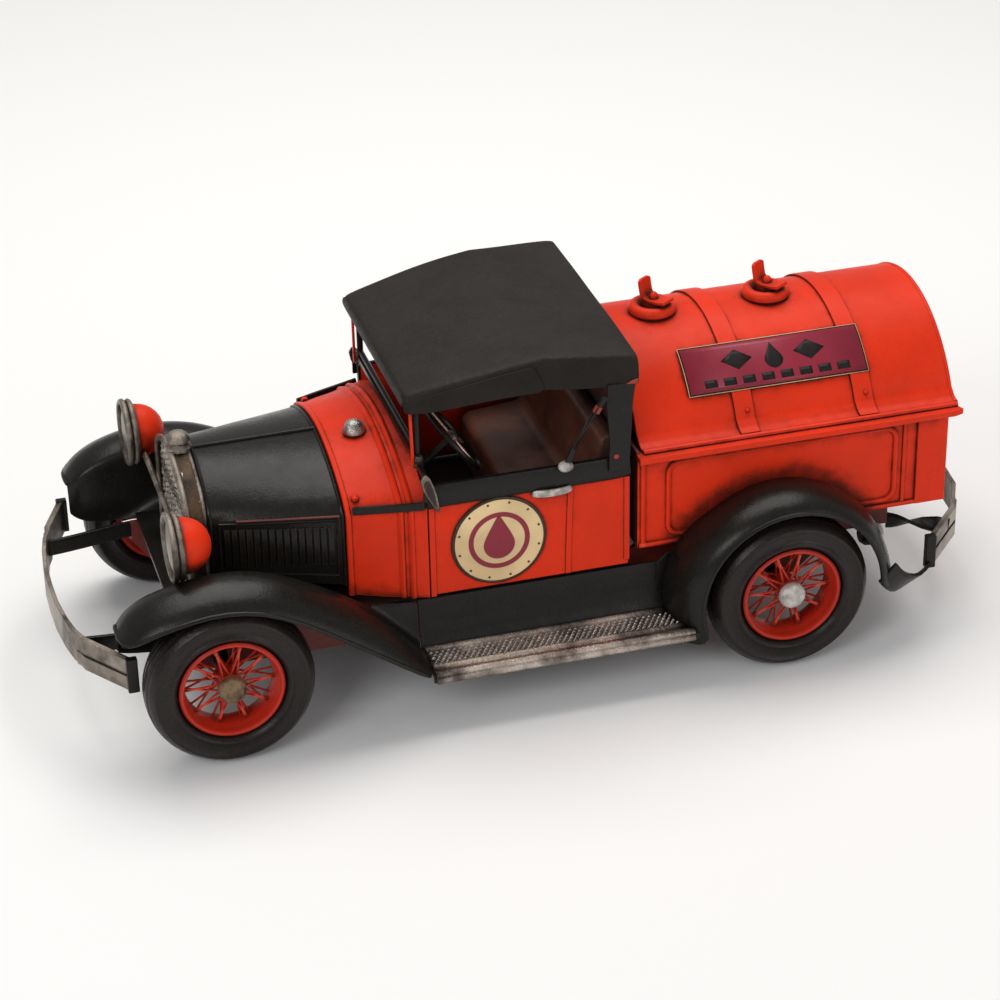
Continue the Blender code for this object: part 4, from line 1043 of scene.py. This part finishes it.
def tank_patch(y0, y1, low, high, lift, rows_count=10):
    """A patch that follows the tank between two ys and two angles."""
    radius = TANK_RADIUS + lift
    rows = []
    for i in range(rows_count + 1):
        a = math.radians(low + (high - low) * i / rows_count)
        rows.append([(radius * math.cos(a), y0 + (y1 - y0) * j / 2, TANK_CENTRE_Z + radius * math.sin(a))
                     for j in range(3)])
    return sheet(rows, (1, 0, 1))


def tank_mark(middle_y, middle_angle, widths, tall, lift):
    """A painted mark of (height share, half width) rows, laid on the tank's curve."""
    radius = TANK_RADIUS + lift
    rows = []
    for share, half in widths:
        a = math.radians(middle_angle) + (share - 0.5) * tall / radius
        rows.append([(radius * math.cos(a), middle_y + half * j, TANK_CENTRE_Z + radius * math.sin(a))
                     for j in (-1, -0.5, 0, 0.5, 1)])
    return sheet(rows, (1, 0, 1))


drop_rows = [(0, 0.4), (0.06, 1.6), (0.16, 2.4), (0.3, 2.8), (0.44, 2.6), (0.6, 1.8), (0.78, 0.9),
             (0.92, 0.3), (1, 0.05)]
lozenge_rows = [(0, 0.05), (0.25, 2.4), (0.5, 4.8), (0.75, 2.4), (1, 0.05)]
for side, slip in SIGN_SLIPS.items():
    y0, y1 = SIGN_Y
    low, high = (angle + slip for angle in SIGN_ANGLES)
    sign_layers = [("hairline", tank_patch(y0, y1, low, high, 0.95), cream, 0.3),
                   ("border", tank_patch(y0 + 0.2, y1 - 0.2, low + 0.3, high - 0.3, 1), ink, 0.1),
                   ("field", tank_patch(y0 + 0.55, y1 - 0.55, low + 0.8, high - 0.8, 1.05), plum, 0.1)]
    marks = [tank_mark(73.7, 52.8 + slip, drop_rows, 8.4, 1.09),
             tank_mark(62.6, 53 + slip, lozenge_rows, 6.4, 1.09),
             tank_mark(84.8, 53 + slip, lozenge_rows, 6.4, 1.09)]
    marks += [tank_mark(53.4 + 5.8 * i, 43.8 + slip, [(0, 1.9), (0.5, 1.9), (1, 1.9)], 2.3, 1.09)
              for i in range(8)]
    sign_layers.append(("marks", joined(marks), ink, 0.04))
    for label, shape, finish, thick in sign_layers:
        on_side(f"sign_{label}", side, shape, finish, [walled(thick)], sharp=30)

# ---------------- fillers
# Two red donut collars on the tank. Each carries a bent strip wing, one ear up and one ear flat,
# held by a round rivet on which it turns.
collar_profile = [(2.8, 93.3), (6.6, 93.2), (7.1, 93.9), (7, 95), (6.4, 95.9), (5.4, 96.3),
                  (4.4, 96.1), (3.6, 95.3), (3.2, 94.2)]
WING_TURN = Matrix.Rotation(math.radians(-55), 3, "Z")
for place, y in (("front", 45.2), ("rear", 80.3)):
    finished("filler_ring_" + place, turned(collar_profile, "Z", (0, y, 0), 44, ring=True), red,
             stands_for="filler_collar_" + place)
    ears = swept([(0, y + 6, 97.9), (0, y + 3.4, 97.3), (0, y + 0.4, 97.2), (0, y - 1.4, 97.6),
                  (0, y - 2.2, 98.8), (0, y - 2.6, 100.8), (0, y - 2.9, 102.6), (0, y - 3, 103.3)],
                 flat_bar(2.6, 0.5), up=(0, 1, 0.001))
    for vert in ears.verts:
        if vert.co.z > 102.9:
            vert.co.x *= 0.6
    bmesh.ops.rotate(ears, cent=(0, y, 0), matrix=WING_TURN, verts=ears.verts)
    head = turned([(0, 99.6), (0.8, 99.4), (1.3, 98.8), (1.4, 98), (1.4, 97.2), (0, 97.2)], "Z",
                  (0, y + 0.6, 0), 20)
    stem = turned([(0, 97.2), (2.5, 97.2), (2.5, 94), (0, 94)], "Z", (0, y, 0), 20)
    finished("filler_ears_" + place, ears, red, [eased(0.25)], body="filler_" + place,
             stands_for="filler_wing_" + place)
    bmesh.ops.rotate(head, cent=(0, y, 0), matrix=WING_TURN, verts=head.verts)
    finished("filler_pin_" + place, joined([head, stem]), red, body="filler_" + place)

# ---------------- tail lamp
# A black cup with a painted white-silver dome, under the left rear corner.
TAIL_LAMP = (36.4, 98.2, 28.2)
cup = turned([(0, 0), (2.2, 0), (3.2, 1.2), (3.5, 3.6), (3.3, 4.6), (0, 4.4)], "Y", TAIL_LAMP, 28)
finished("tail_lamp_cup", cup, black, stands_for="tail_lamp")
glass = turned([(3.1, 4), (3.2, 4.8), (2.9, 5.9), (2.2, 6.8), (1.2, 7.3), (0, 7.5)], "Y", TAIL_LAMP, 28)
finished("tail_lamp_dome", glass, white_silver)

# ---------------- floor, light and camera
# A plain pale floor under soft studio light, and a long lens on the front left of the truck.
paper = bpy.data.materials.new("pale paper")
paper.use_nodes = True
paper_shader = paper.node_tree.nodes["Principled BSDF"]
paper_shader.inputs["Base Color"].default_value = (0.86, 0.86, 0.86, 1)
paper_shader.inputs["Roughness"].default_value = 0.9
paper_shader.inputs["Specular IOR Level"].default_value = 0.1
ground = bmesh.new()
bmesh.ops.create_grid(ground, x_segments=2, y_segments=2, size=4)
floor_mesh = bpy.data.meshes.new("floor")
ground.to_mesh(floor_mesh)
ground.free()
floor_mesh.materials.append(paper)
floor = bpy.data.objects.new("floor", floor_mesh)
bpy.context.scene.collection.objects.link(floor)

world = bpy.data.worlds.new("studio")
bpy.context.scene.world = world
world.use_nodes = True
world.node_tree.nodes["Background"].inputs["Color"].default_value = (1, 1, 1, 1)
world.node_tree.nodes["Background"].inputs["Strength"].default_value = 0.38


def soft_light(name, where, target, size, watts, tint=(1, 1, 1)):
    lamp = bpy.data.lights.new(name, "AREA")
    lamp.shape = "RECTANGLE"
    lamp.size, lamp.size_y = size
    lamp.energy = watts
    lamp.color = tint
    held = bpy.data.objects.new(name, lamp)
    held.location = where
    held.rotation_mode = "QUATERNION"
    held.rotation_quaternion = (Vector(target) - Vector(where)).to_track_quat("-Z", "Y")
    bpy.context.scene.collection.objects.link(held)


soft_light("overhead softbox", (-0.3, 0.05, 0.95), (0, 0, 0.05), (0.9, 0.7), 8, (1, 0.97, 0.93))
soft_light("front left softbox", (0.75, -0.75, 0.75), (0, 0, 0.05), (0.5, 0.5), 4.2)
soft_light("low fill", (0.9, 0.55, 0.35), (0, 0, 0.05), (0.6, 0.5), 1.8)

CAMERA_PLACE = (0.74921, -0.21043, 0.4745)
azimuth, elevation, roll = (math.radians(angle) for angle in (74.454, 29.299, -1.203))
back = Vector((math.sin(azimuth) * math.cos(elevation), -math.cos(azimuth) * math.cos(elevation),
               math.sin(elevation)))
right = Vector((0, 0, 1)).cross(back).normalized()
above = back.cross(right)
rolled_right = right * math.cos(roll) + above * math.sin(roll)
rolled_above = above * math.cos(roll) - right * math.sin(roll)
lens = bpy.data.cameras.new("camera")
lens.lens = 108
lens.sensor_width = 36
lens.clip_start, lens.clip_end = 0.05, 20
camera = bpy.data.objects.new("camera", lens)
facing = Matrix((rolled_right, rolled_above, back)).transposed().to_4x4()
camera.matrix_world = Matrix.Translation(CAMERA_PLACE) @ facing
bpy.context.scene.collection.objects.link(camera)
bpy.context.scene.camera = camera
bpy.context.scene.view_settings.view_transform = "Standard"
